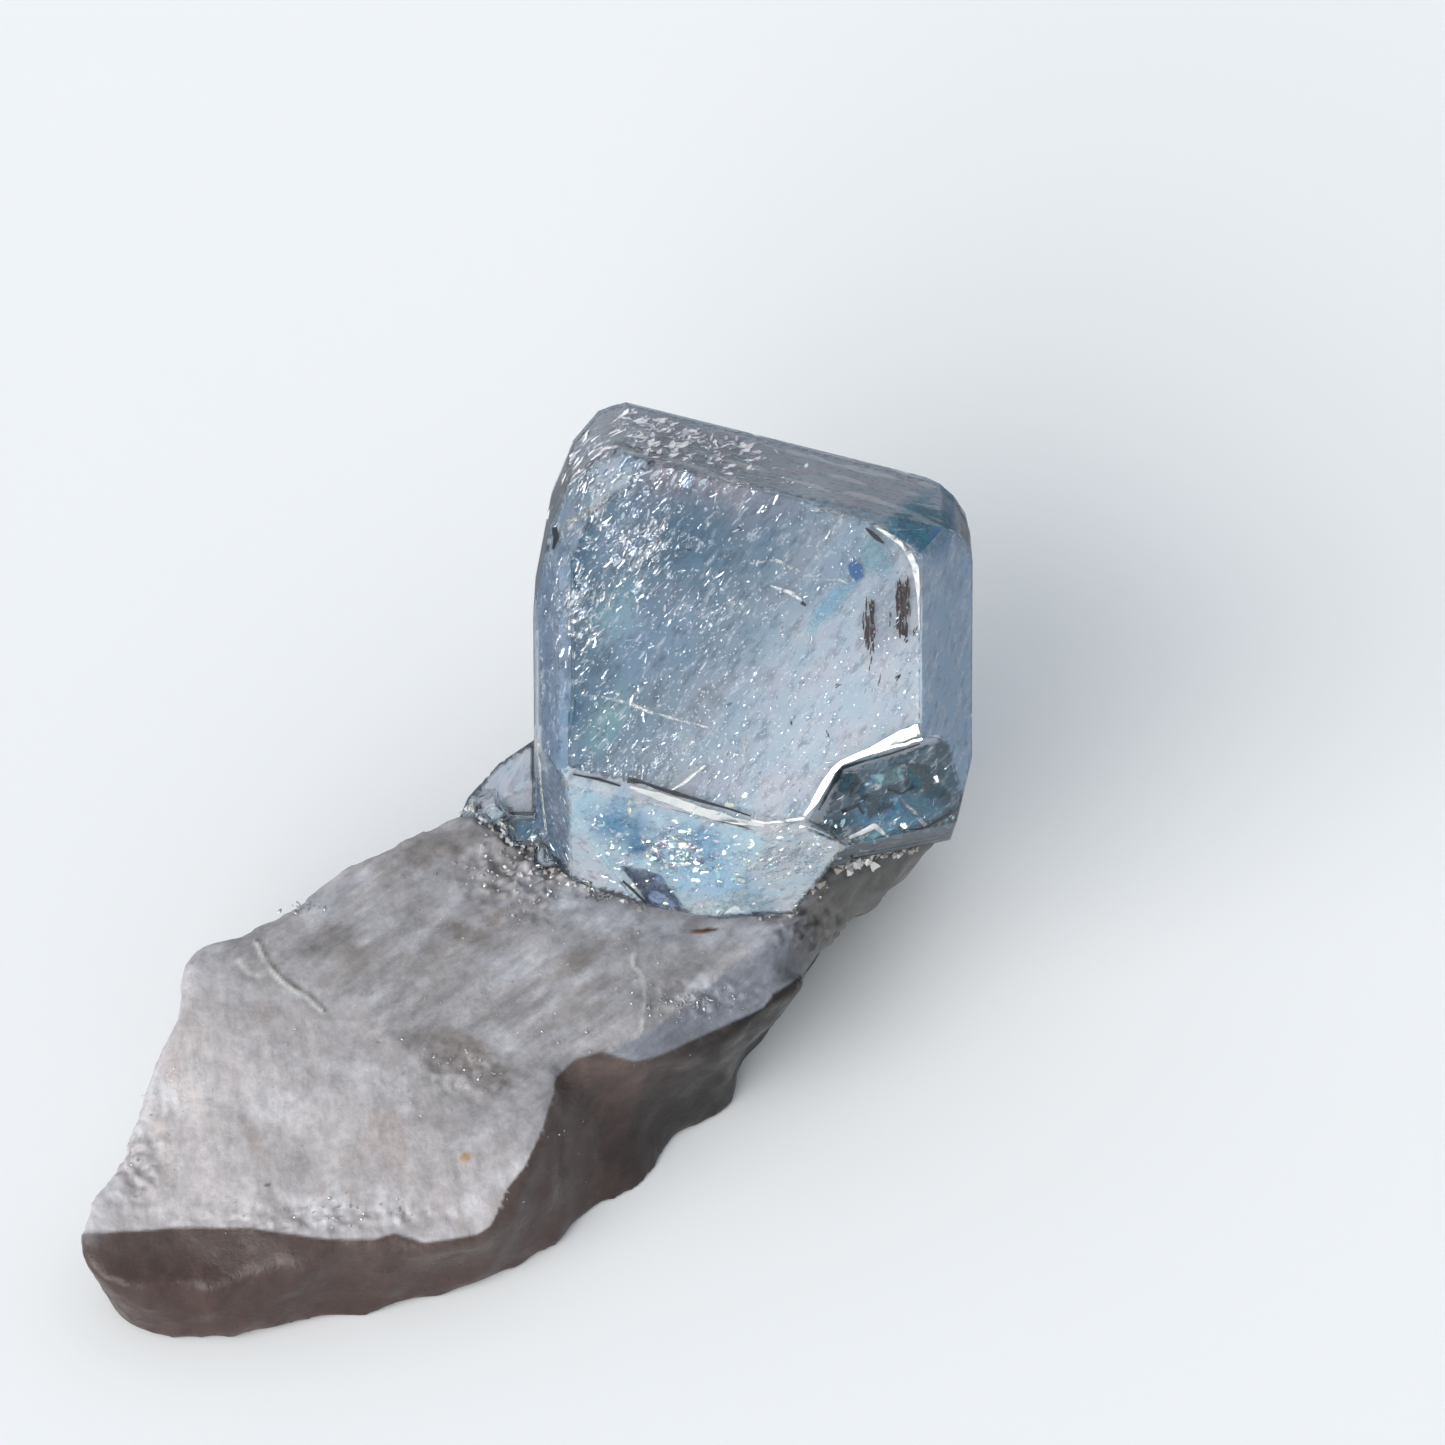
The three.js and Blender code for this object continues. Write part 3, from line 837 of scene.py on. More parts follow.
def add_glitter(flakes, rng, wanted):
    """Tiny flashes all over the front, most where it is palest: a quarter are mirrors, the rest pale flakes
    painted as flashes.
    """

    def add_one(x, y):
        if rng.random() > 0.25 + 0.75 * smooth_step(-3.0, 4.0, 0.8 * x - y):
            return False
        place, looks = flakes.solid.seen(x, y)
        if place is None or not on_front(looks):
            return False
        jitter = shaken(rng, 0.22)
        length = rng.uniform(0.03, 0.09)
        return flakes.add(place - BACK * rng.uniform(0.03, 0.16), on_sight(GROWTH_TURN + rng.gauss(0, 0.5)),
                          glint_way(looks) + jitter, length, 0.5 * length, 0.008, rng.choice(WHITES),
                          1.0 if rng.random() < 0.25 else 0.0)

    scatter(rng, wanted, 20, (-5, 3.6), (-4.2, 4.6), add_one)


# Single flashes: middle, length, width, turn and colour
FLASHES = [
    ((-2.12, -4.25), 0.3, 0.22, -30, (1.0, 0.86, 0.97)), ((-2.35, -4.38), 0.38, 0.09, -60, (0.95, 0.97, 1.0)),
    ((-2.0, -4.72), 0.46, 0.08, -58, (0.95, 0.98, 1.0)), ((-1.29, -4.92), 0.2, 0.13, -40, (1.0, 0.86, 0.93)),
    ((-0.51, -4.98), 0.26, 0.2, 20, (0.94, 0.9, 1.0)), ((-0.58, -4.28), 0.22, 0.12, -20, (1.0, 0.98, 0.86)),
    ((-0.8, -5.49), 0.32, 0.08, 40, (0.86, 1.0, 1.0)), ((-0.51, -5.56), 0.26, 0.07, 50, (0.9, 1.0, 1.0)),
    ((0.27, -5.49), 0.22, 0.1, -40, (1.0, 1.0, 0.78)), ((0.56, -5.6), 0.18, 0.1, -60, (1.0, 0.86, 0.93)),
    ((0.66, -5.78), 0.28, 0.12, 25, (1.0, 1.0, 1.0)), ((0.77, -4.57), 0.14, 0.1, 40, (1.0, 0.98, 0.8)),
    ((0.13, -4.84), 0.13, 0.08, 30, (0.98, 1.0, 0.8)), ((0.95, -4.35), 0.15, 0.08, -50, (0.85, 1.0, 1.0)),
    ((-0.9, -4.45), 0.18, 0.06, -35, (0.95, 0.98, 1.0)), ((-1.7, -4.45), 0.16, 0.07, -60, (0.8, 0.97, 1.0)),
    ((-3.7, -5.4), 0.15, 0.12, 30, (0.95, 0.9, 1.0)), ((-2.85, -5.45), 0.2, 0.09, 80, (1.0, 0.88, 0.92)),
    ((-1.75, -5.3), 0.12, 0.1, 0, (0.9, 0.97, 1.0)), ((-3.55, -4.05), 0.2, 0.06, 50, (0.94, 0.97, 1.0)),
    ((0.35, -4.45), 0.16, 0.1, -30, (0.96, 1.0, 0.92)), ((-0.23, -3.42), 0.16, 0.12, 30, (1.0, 1.0, 1.0)),
]
# Flat panes in the crystal that show a colour: corners, colour, and how thick they look. The dark strip along
# a lower facet's edge and the panes under the chip are painted shade.
PANES = [
    ([(-2.93, -5.0), (-2.43, -5.07), (-2.08, -5.2), (-1.58, -5.88), (-1.93, -6.2), (-2.4, -5.75)],
     (0.17, 0.22, 0.34), 0.85),
    # a dark strip of painted shade along the lower facet's edge
    ([(-2.98, -4.98), (-2.86, -4.98), (-2.3, -5.58), (-1.86, -6.14), (-1.95, -6.22), (-2.42, -5.77)],
     (0.05, 0.06, 0.12), 0.75),
    ([(-1.58, -5.86), (-0.23, -5.45), (0.33, -5.7), (0.13, -5.98), (-0.51, -6.1), (-1.8, -6.2)],
     (0.88, 0.97, 1.0), 0.6),
    ([(2.0, 1.62), (2.15, 1.75), (2.33, 1.6), (2.38, 1.35), (2.2, 1.22), (2.05, 1.4)],
     (0.03, 0.2, 0.5), 0.95),
    ([(2.2, 1.9), (2.62, 2.22), (2.95, 1.9), (3.05, 1.45), (2.45, 1.3), (2.33, 1.6)],
     (0.42, 0.66, 0.76), 0.45),
    ([(2.37, 1.33), (1.82, 1.28), (1.2, 0.6), (1.08, -0.02), (1.32, 0.2), (1.9, 0.75)],
     (0.42, 0.72, 0.88), 0.45),
    ([(3.1, 2.42), (3.45, 2.88), (3.95, 2.98), (4.3, 2.7), (4.22, 2.2), (3.75, 1.8), (3.5, 2.0)],
     (0.06, 0.34, 0.5), 0.8),
    # under the chip: painted shade, the dark and teal cells seen through it
    ([(1.75, -2.95), (2.25, -2.95), (2.45, -3.3), (2.1, -3.5), (1.75, -3.3)], (0.05, 0.09, 0.12), 0.8),
    ([(2.5, -3.0), (3.2, -2.75), (3.3, -3.1), (2.75, -3.25)], (0.24, 0.4, 0.46), 0.7),
    ([(3.3, -2.7), (3.8, -2.7), (3.95, -3.3), (3.4, -3.3)], (0.06, 0.12, 0.16), 0.7),
    ([(2.3, -3.45), (2.9, -3.35), (3.1, -3.75), (2.5, -3.95)], (0.07, 0.14, 0.19), 0.7),
    ([(3.1, -3.45), (3.9, -3.45), (4.0, -3.8), (3.3, -3.95)], (0.1, 0.3, 0.42), 0.7),
]

# Cracks and edges that show bright: a line, its width at shares of its length, shade, and how whole it is
BRIGHT_LINES = [
    ([(-3.38, -1.27), (-2.73, -1.42), (-2.33, -1.6), (-1.67, -1.78), (-1.09, -1.93), (-0.73, -2.04)],
     [(0, 0.05), (0.3, 0.07), (1, 0.04)], 0.32, 0.42),
    ([(-0.3, 1.6), (0.44, 1.73), (0.62, 1.64), (1.07, 1.4), (1.4, 1.31), (1.84, 1.29), (2.1, 1.18)],
     [(0, 0.03), (0.4, 0.07), (1, 0.05)], 0.26, 0.4),
    ([(0.33, 1.16), (0.78, 1.0), (1.0, 0.84)], [(0, 0.03), (0.7, 0.09), (1, 0.05)], 0.32, 0.45),
    ([(1.2, 2.82), (1.67, 2.78), (2.33, 2.6), (2.56, 2.49)], [(0, 0.09), (1, 0.06)], 0.26, 0.42),
    ([(2.56, 2.49), (2.89, 2.27), (3.16, 2.09), (3.33, 1.89), (3.49, 1.56), (3.55, 1.1), (3.58, 0.2)],
     [(0, 0.05), (0.25, 0.1), (0.5, 0.14), (0.8, 0.05), (1, 0.02)], 0.32, 0.5),
    ([(1.07, -3.93), (0.56, -4.0), (0.22, -4.04), (-0.1, -3.96)], [(0, 0.07), (1, 0.04)], 0.32, 0.7),
    ([(-2.75, -3.23), (-1.9, -3.52), (-1.24, -3.76), (-0.5, -3.98), (0.2, -4.08)],
     [(0, 0.05), (0.2, 0.17), (0.7, 0.2), (1, 0.06)], 0.24, 0.62),
    ([(-4.2, 2.18), (-4.2, 2.36), (-4.0, 2.58), (-3.76, 2.69), (-3.47, 2.87), (-3.27, 3.02), (-3.16, 3.2)],
     [(0, 0.08), (0.6, 0.12), (1, 0.05)], 0.23, 0.42),
    ([(-3.89, 4.67), (-3.6, 4.56), (-3.13, 4.49)], [(0, 0.06), (1, 0.04)], 0.26, 0.5),
    ([(-3.09, 4.31), (-2.8, 4.2), (-2.47, 4.11), (-2.0, 4.0)], [(0, 0.1), (1, 0.04)], 0.23, 0.42),
    ([(-1.84, -3.31), (-1.58, -3.16), (-1.09, -2.76)], [(0, 0.03), (0.4, 0.07), (1, 0.05)], 0.32, 0.5),
    ([(-1.24, -2.31), (-0.89, -1.96)], [(0, 0.05), (1, 0.03)], 0.26, 0.42),
    ([(-0.24, -2.13), (-0.24, -2.71)], [(0, 0.04), (1, 0.04)], 0.2, 0.5),
    ([(-2.9, -3.95), (-2.3, -4.6), (-1.7, -5.2)], [(0, 0.05), (1, 0.03)], 0.26, 0.38),
    ([(-5.44, -4.13), (-5.33, -3.91), (-4.93, -3.87), (-4.87, -4.31), (-5.29, -4.36), (-5.44, -4.13)],
     [(0, 0.07), (1, 0.07)], 0.32, 0.6),
    ([(-4.75, -2.2), (-4.7, -3.3), (-4.6, -4.3)], [(0, 0.05), (1, 0.05)], 0.2, 0.5),
    ([(1.8, -4.46), (2.31, -4.26), (2.62, -4.1), (2.98, -4.4)],
     [(0, 0.03), (0.6, 0.13), (1, 0.04)], 0.26, 0.7),
    ([(3.24, -3.55), (3.45, -3.75), (3.75, -4.1)], [(0, 0.05), (1, 0.09)], 0.16, 0.45),
    ([(3.95, -3.0), (4.02, -3.15)], [(0, 0.09), (1, 0.06)], 0.9, 1.0),
    ([(1.1, -3.95), (1.5, -4.15), (1.85, -4.5), (1.95, -4.9)],
     [(0, 0.04), (0.5, 0.08), (1, 0.04)], 0.16, 0.5),
]
# The same for the chip's milky rim, on the surface
CHIP_RIM = [
    ([(3.6, -2.04), (2.98, -2.26), (2.6, -2.43), (2.3, -2.54), (1.87, -2.72)],
     [(0, 0.36), (0.25, 0.3), (0.5, 0.18), (0.75, 0.11), (1, 0.1)], 0.75, 1.0),
    ([(1.87, -2.72), (1.69, -2.91), (1.49, -3.23), (1.27, -3.62), (1.07, -3.87)],
     [(0, 0.1), (0.4, 0.16), (0.7, 0.13), (1, 0.04)], 0.6, 1.0),
]
# Dark lines, most of them painted shade along facet edges and the chip's rim, some dark cracks: a line and
# its width at shares of its length
DARK_CRACKS_AND_EDGE_SHADE = [
    ([(-2.8, -3.08), (-2.5, -3.14), (-1.93, -3.33), (-1.22, -3.54), (-0.51, -3.74), (-0.1, -3.88)],
     [(0, 0.13), (0.15, 0.07), (0.4, 0.1), (0.7, 0.06), (1, 0.03)]),
    ([(-4.0, -2.96), (-3.44, -3.07), (-2.96, -3.22)], [(0, 0.03), (0.5, 0.06), (1, 0.04)]),
    ([(3.6, -2.28), (2.98, -2.49), (2.3, -2.68), (1.87, -2.82)], [(0, 0.03), (0.7, 0.05), (1, 0.07)]),
    ([(1.87, -2.84), (1.62, -3.28), (1.37, -3.75)], [(0, 0.13), (0.5, 0.06), (1, 0.05)]),
    ([(2.4, 2.42), (2.62, 2.22), (2.8, 2.08)], [(0, 0.04), (0.5, 0.11), (1, 0.05)]),
    ([(1.0, 0.8), (1.1, 0.72)], [(0, 0.09), (1, 0.05)]),
    ([(2.9, -3.28), (3.2, -3.4), (3.5, -3.25)], [(0, 0.07), (1, 0.03)]),
    ([(1.9, -3.8), (2.25, -3.65), (2.38, -3.85)], [(0, 0.09), (1, 0.05)]),
    ([(-4.45, 2.75), (-4.35, 2.2), (-4.42, 1.95)], [(0, 0.04), (0.6, 0.14), (1, 0.05)]),
    ([(-3.88, 4.6), (-3.45, 4.5), (-3.12, 4.42)], [(0, 0.04), (0.7, 0.12), (1, 0.05)]),
    ([(-2.93, -5.33), (-2.4, -5.82), (-1.84, -6.36)], [(0, 0.05), (1, 0.06)]),
    ([(3.4, -4.2), (3.75, -4.15), (4.25, -3.85), (4.32, -3.75)], [(0, 0.03), (0.6, 0.06), (1, 0.09)]),
    ([(2.2, -4.75), (2.5, -4.88), (2.75, -4.85)], [(0, 0.05), (1, 0.08)]),
]

# Dark needles and specks: middle, length, width, turn, and the number of strokes in them
NEEDLES = [
    ((2.5, 0.35), 1.25, 0.24, 91, 40), ((2.53, -0.4), 0.6, 0.07, 84, 7), ((2.36, 0.4), 0.6, 0.05, 92, 5),
    ((3.2, 0.66), 1.35, 0.28, 90, 48), ((3.35, 0.75), 0.9, 0.12, 90, 8), ((2.95, 0.45), 0.3, 0.06, 88, 3),
    ((3.47, 0.15), 0.2, 0.07, 70, 3), ((3.28, -0.05), 0.12, 0.1, 60, 3), ((2.71, -0.89), 0.34, 0.03, 80, 3),
    ((3.13, -0.84), 0.2, 0.09, 50, 4), ((1.8, -1.02), 0.12, 0.08, 20, 3), ((1.58, -2.07), 0.15, 0.07, 100, 3),
    ((0.8, -1.84), 0.11, 0.06, 100, 3), ((-0.33, 2.4), 0.1, 0.08, 0, 3), ((0.42, 3.6), 0.16, 0.12, 30, 4),
    ((0.3, 3.75), 0.14, 0.08, 20, 3), ((3.2, -4.15), 0.1, 0.08, 0, 3), ((-1.05, 3.95), 0.14, 0.1, 0, 4),
    ((-1.5, 1.95), 0.16, 0.05, -20, 3), ((0.45, -5.1), 0.16, 0.07, -15, 3), ((-0.8, 4.4), 0.12, 0.08, 40, 3),
]
BROWNS = [(0.036, 0.007, 0.009), (0.065, 0.014, 0.018), (0.012, 0.004, 0.005), (0.12, 0.05, 0.06)]
CRACK_AND_EDGE_SHADE_COLOURS = [(0.03, 0.035, 0.045), (0.05, 0.06, 0.07), (0.02, 0.02, 0.03)]


RIBBON_DEPTH, DARK_DEPTH, FLASH_DEPTH = 0.035, 0.032, 0.05


def make_flakes(solid):
    rng = random.Random(7)
    glints = Flakes(solid)
    add_streaks(glints, rng, CROWDS, 0.03, 2300, (-4.4, 5.4), WHITES, 0.32, (0.12, 0.30))
    add_streaks(glints, rng, LOWER_CROWDS, 0.06, 850, (-6.2, -3.6), RAINBOW, 0.8, (0.25, 0.60))
    add_top_glint_paint(glints, rng, 700)
    for middle, length, width, turn, colour in FLASHES:
        place, looks = solid.seen(*middle)
        along = on_sight(math.radians(turn))
        glints.add(place - BACK * FLASH_DEPTH, along, glint_way(looks), length, width, SHEET, colour)
    add_glitter(glints, rng, 2000)
    glints.piece("euclase_glints", flake_material("glints", 0.18))

    edges = Flakes(solid)
    for lines, depth in ((BRIGHT_LINES, RIBBON_DEPTH), (CHIP_RIM, -RIBBON_DEPTH)):
        for line, width, shade, whole in lines:
            edges.add_ribbon(line, width, (0.97 * shade, 0.98 * shade, 1.0 * shade), whole, depth)
    edges.piece("euclase_bright_edges", ribbon_material())

    panes = Flakes(solid)
    for k, (corners, colour, thick) in enumerate(PANES):
        panes.add_pane(corners, colour, thick, PANE_DEPTH + PANE_APART * k)
    panes.piece("euclase_panes", pane_material())

    darks = Flakes(solid)
    # dark cracks, and painted shade along facet edges and the chip's rim
    for line, width in DARK_CRACKS_AND_EDGE_SHADE:
        darks.add_ribbon(line, width, rng.choice(CRACK_AND_EDGE_SHADE_COLOURS), 1.0, DARK_DEPTH)
    for (x, y), length, width, turn, strokes in NEEDLES:
        turn = math.radians(turn)
        for _ in range(strokes):
            along, aside = rng.uniform(-0.4, 0.4) * length, rng.uniform(-0.4, 0.4) * width
            place, _ = solid.seen(x + along * math.cos(turn) - aside * math.sin(turn),
                                  y + along * math.sin(turn) + aside * math.cos(turn))
            darks.add(place - BACK * rng.uniform(0.04, 0.09), on_sight(turn + rng.gauss(0, 0.06)), BACK,
                      min(length, 0.16 + 0.3 * length * rng.random()),
                      max(0.03, width * rng.uniform(0.12, 0.34)), 0.03, rng.choice(BROWNS))
    darks.piece("euclase_specks", flake_material("specks", 0.8, mirrors=False))


GLASS_DARK, GLASS_PALE = (0.84, 0.93, 0.99, 1), (0.99, 1.0, 1.0, 1)


def euclase_material():
    """Clear glass, whose steep faces around the front have fine steps that look a little to the front."""
    material, nodes = new_material("euclase")
    own_frame = {"Location": CENTRE * MM, "Rotation": (RISE, 0, 0), "Scale": (MM, MM, MM)}
    inputs = {"Vector": nodes.place(), **own_frame}
    place = nodes.add("Mapping", inputs, vector_type="TEXTURE").outputs["Vector"]
    tone = nodes.mix("MIX", nodes.ramp(nodes.noise(place, 0.9, 2.0, 0.6), 0.35, 0.65), GLASS_DARK, GLASS_PALE)
    looks = nodes.add("NewGeometry").outputs["Normal"]
    level = nodes.toward(looks, BACK)
    steep = nodes.ramp(level, 0.12, 0.32, 0.42, 0, "SMOOTHSTEP")
    ahead = nodes.ramp(level, -0.1, 0.0, 0, 1, "SMOOTHSTEP")
    inputs = {0: FRONT_WAY, "Scale": nodes.math("MULTIPLY", steep, ahead)}
    tilt = nodes.add("VectorMath", inputs, operation="SCALE").outputs["Vector"]
    nodes.shade(Base_Color=tone, Roughness=0.02, IOR=IOR, Transmission_Weight=1.0)
    nodes.shade(Normal=nodes.vector("NORMALIZE", nodes.vector("ADD", looks, tilt)))
    absorb = nodes.add("VolumeAbsorption", {"Color": (0.50, 0.58, 0.66, 1), "Density": 180.0})
    nodes.put(nodes.tree.nodes["Material Output"].inputs["Volume"], absorb.outputs["Volume"])
    return material


FINE_EDGE = 0.24  # longest edge of the crystal's mesh, for its relief
ROUND_EDGE = 0.045
ROUNDED_FROM = math.radians(6)  # edges that turn more are rounded
FLAT_WITHIN = math.radians(3)  # points whose faces turn less get relief
SHARP_FROM = math.radians(9)  # edges that turn more in the end are shaded sharp
# The way a group of faces looks in the crystal's frame, how near to it in degrees, and its relief: height and
# size of the roughness, height of the cells and height of the striae
RELIEF = [
    ((0, 0, 1), 6, 0.006, 1.6, 0.0, 0.0),
    ((-0.84, 0, 0.55), 30, 0.004, 1.0, 0.0, 0.022),
    ((0.25, -0.32, 0.91), 6, 0.02, 0.5, 0.10, 0.0),
    ((-0.15, -0.64, 0.75), 26, 0.02, 0.45, 0.05, 0.0),
    ((-0.4, 0.4, 0.82), 24, 0.016, 0.6, 0.02, 0.0),
    ((0.25, 0.97, 0), 16, 0.010, 0.8, 0.01, 0.0),
]
PLAIN_RELIEF = 0.004


def relief_at(point, looks):
    """How far the surface stands in or out at a point."""
    for toward, within, rough, size, cells, striae in RELIEF:
        if looks.angle(Vector(toward).normalized(), math.pi) < math.radians(within):
            break
    else:
        return PLAIN_RELIEF * noise.noise(point * 0.9)
    distances, points = noise.voronoi(point / (1.6 * size))
    across = point.x * 0.55 + point.z * 0.84
    return (rough * noise.noise(point / size)
            + cells * (noise.cell(points[0] * 7.3) - 0.5) * min(1.0, 3 * (distances[1] - distances[0]))
            + striae * noise.noise(Vector((across * 3.2, point.y * 0.06, 0))))


def split_long_edges(bm, longest):
    for _ in range(8):
        long_edges = [edge for edge in bm.edges if edge.calc_length() > longest]
        if not long_edges:
            return
        bmesh.ops.subdivide_edges(bm, edges=long_edges, cuts=1, use_grid_fill=False)
        bmesh.ops.triangulate(bm, faces=[face for face in bm.faces if len(face.verts) > 3])


def drop_folds(bm):
    """Takes away stray slivers that splitting can leave folded on themselves, with the same corners."""
    alike = {}
    for face in bm.faces:
        alike.setdefault(frozenset(face.verts), []).append(face)
    folds = [face for faces in alike.values() if len(faces) > 1 for face in faces]
    bmesh.ops.delete(bm, geom=folds, context="FACES")


def make_crystal():
    mesh = copy_mesh("euclase_crystal", "euclase")
    bm = bmesh.new()
    bm.from_mesh(mesh)
    bmesh.ops.transform(bm, matrix=TO_GROUND.inverted() @ Matrix.Scale(1 / MM, 4), verts=bm.verts)
    bmesh.ops.remove_doubles(bm, verts=bm.verts, dist=1e-3)
    bmesh.ops.dissolve_limit(bm, angle_limit=math.radians(0.4), verts=bm.verts, edges=bm.edges)
    sharp = [edge for edge in bm.edges
             if len(edge.link_faces) == 2 and edge.calc_face_angle(0) > ROUNDED_FROM]
    bmesh.ops.bevel(bm, geom=sharp, offset=ROUND_EDGE, segments=2, profile=0.6, affect="EDGES",
                    clamp_overlap=True)
    bmesh.ops.triangulate(bm, faces=bm.faces)
    split_long_edges(bm, FINE_EDGE)
    drop_folds(bm)
    bm.normal_update()
    shifts = []
    for vertex in bm.verts:
        looks = [face.normal for face in vertex.link_faces]
        flat = all(looks[0].angle(other, 0) < FLAT_WITHIN for other in looks[1:])
        shifts.append(vertex.normal * relief_at(vertex.co, vertex.normal) if flat else Vector())
    for vertex, shift in zip(bm.verts, shifts):
        vertex.co += shift
    bmesh.ops.transform(bm, matrix=Matrix.Scale(MM, 4) @ TO_GROUND, verts=bm.verts)
    bm.to_mesh(mesh)
    bm.free()
    mesh.shade_smooth()
    mesh.set_sharp_from_angle(angle=SHARP_FROM)
    crystal = add_piece("euclase_crystal_faces", mesh, euclase_material())
    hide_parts("euclase_crystal")


# The matrix

ROCK_STEP = 0.13  # of its mesh
ROCK_SMOOTHING = 7

# In the picture: the edge between its pale top and its side, brown under painted shadow, from the right to
# the left
RIDGE = [(2.2, -6.2), (1.3, -7.1), (0.91, -7.51), (0.4, -7.82), (0.2, -8.13), (-0.62, -8.49), (-1.31, -8.8),
         (-1.98, -9.11), (-2.29, -9.22), (-2.67, -9.29), (-3.4, -9.1), (-3.98, -9.27), (-4.38, -9.64),
         (-4.44, -10.0), (-4.62, -10.58), (-4.84, -11.09), (-5.09, -11.6), (-5.47, -12.07), (-5.69, -12.62),
         (-5.82, -12.89), (-6.1, -13.07), (-6.71, -13.16), (-7.27, -13.24), (-7.93, -13.02), (-8.38, -13.16),
         (-9.47, -13.13), (-11.1, -12.9), (-12.8, -12.9), (-14.96, -13.07)]
# The line where the top bends down before that edge, below which it gets painted shade
BEND = [(1.6, -5.6), (0.44, -6.4), (0.16, -6.69), (-0.18, -6.98), (-0.49, -7.2), (-0.96, -7.6),
        (-1.38, -8.0), (-1.87, -8.33), (-2.42, -8.67), (-3.2, -9.0), (-4.2, -9.4)]
# Where it is paler along its upper left edge, and two cracks with lips painted pale as highlights beside one
# of them
PALE_RIM = [(-6.44, -3.84), (-7.76, -4.4), (-10.0, -5.62), (-11.4, -6.28), (-12.63, -7.2), (-13.5, -9.6),
            (-14.69, -13.0)]
CREASE = [(-2.6, -6.3), (-2.66, -7.2), (-2.42, -7.4), (-2.38, -7.96), (-2.49, -8.58)]
CRACK = [(-11.0, -6.69), (-10.82, -7.04), (-10.64, -7.31), (-10.47, -7.49), (-10.2, -7.69), (-9.91, -7.87),
         (-9.56, -8.18)]
CRACK_END = [(-9.56, -8.38), (-8.73, -8.44), (-8.0, -8.8), (-6.8, -9.75)]
LIP_HIGHLIGHTS = [(-11.38, -7.09), (-11.16, -7.31), (-10.91, -7.38)]
PALE_CONTACT = [(-4.2, -5.6), (-3.0, -6.1), (-1.9, -6.5), (0.2, -6.35)]
# Lines with painted shade on one side and a painted highlight on the other: width, shares of the two, and how
# far the surface drops across
ROCK_LINES = [(CRACK, 0.10, 0.7, 1.0, 0.03), (CREASE, 0.09, 0.15, 0.55, 0.012),
              (CRACK_END, 0.16, 0.16, 0.14, 0.008), (LIP_HIGHLIGHTS, 0.12, 0.0, 0.5, 0.0)]
# Stains, and pits painted dark as the shade in them: middle, half-lengths, turn, colour and share
STAINS_AND_PIT_SHADES = [
    ((-1.15, -6.43), (0.34, 0.05), 3, (0.14, 0.05, 0.02), 0.95),
    ((-1.0, -6.41), (0.16, 0.05), 0, (0.03, 0.012, 0.01), 0.9),
    ((-6.38, -11.40), (0.14, 0.10), 20, (0.40, 0.26, 0.12), 0.85),
    # pits, painted dark as the shade in them
    ((1.07, -6.62), (0.07, 0.07), 0, (0.005, 0.005, 0.006), 1.0),
    ((1.33, -6.33), (0.16, 0.06), 20, (0.03, 0.03, 0.032), 0.9),
    ((1.27, -6.84), (0.13, 0.08), 40, (0.03, 0.03, 0.032), 0.8),
    ((-10.71, -12.0), (0.07, 0.05), 10, (0.06, 0.055, 0.06), 0.9),
    ((1.6, -7.05), (0.12, 0.08), 20, (0.04, 0.04, 0.04), 0.7),
]
PALE_ROCK, WHITE_ROCK = (0.245, 0.240, 0.252), (0.375, 0.353, 0.364)
BROWN_VEIL, BLUE_VEIL = (0.155, 0.135, 0.128), (0.34, 0.345, 0.38)
WHITE_FIBRES, PINK_FIBRES = (0.52, 0.52, 0.55), (0.36, 0.315, 0.31)
# painted shade where the top bends down, and painted half-shade at the right
BENT_DOWN_SHADE, RIGHT_HALF_SHADE = (0.152, 0.166, 0.202), (0.095, 0.092, 0.088)
# painted shadow on the broken side, over brown stone, here and in the next line
DARKEST_SIDE_SHADOW, BROWN_SIDE_SHADOW = (0.008, 0.005, 0.0045), (0.046, 0.024, 0.020)
LIGHTER_SIDE_SHADOW, SIDE_SHADOW_BY_EDGE, SIDE_SHADOW_VEIL = (0.075, 0.050, 0.045), (0.080, 0.058, 0.052), (0.08, 0.055, 0.05)
# the painted shade and painted highlight of the lines
LINE_PAINTED_SHADE, LINE_PAINTED_HIGHLIGHT = (0.10, 0.09, 0.08), (0.60, 0.59, 0.58)
CONTACT_ROCK, RIM_ROCK = (0.34, 0.36, 0.41), (0.44, 0.44, 0.48)


def distance_to(line, x, y):
    """How far a point of the picture is from a line, and on which side."""
    nearest, side = math.inf, 1
    for (x0, y0), (x1, y1) in zip(line, line[1:]):
        across, up = x1 - x0, y1 - y0
        share = min(1.0, max(0.0, ((x - x0) * across + (y - y0) * up) / (across * across + up * up)))
        distance = math.hypot(x - x0 - across * share, y - y0 - up * share)
        if distance < nearest:
            nearest, side = distance, 1 if across * (y - y0) - up * (x - x0) > 0 else -1
    return nearest, side


def waves(x, y, z, scale, turn, stretch):
    """Smooth noise stretched along a direction of the picture."""
    cos, sin = math.cos(math.radians(turn)), math.sin(math.radians(turn))
    along, across = (x * cos + y * sin) / (scale * stretch), (y * cos - x * sin) / scale
    return noise.fractal(Vector((along, across, z / scale)), 0.9, 2.1, 4)


def fibre_turn(x):
    """The turn of the pale end's fibres, which spread like a fan."""
    return 100 + 6 * (x + 8)


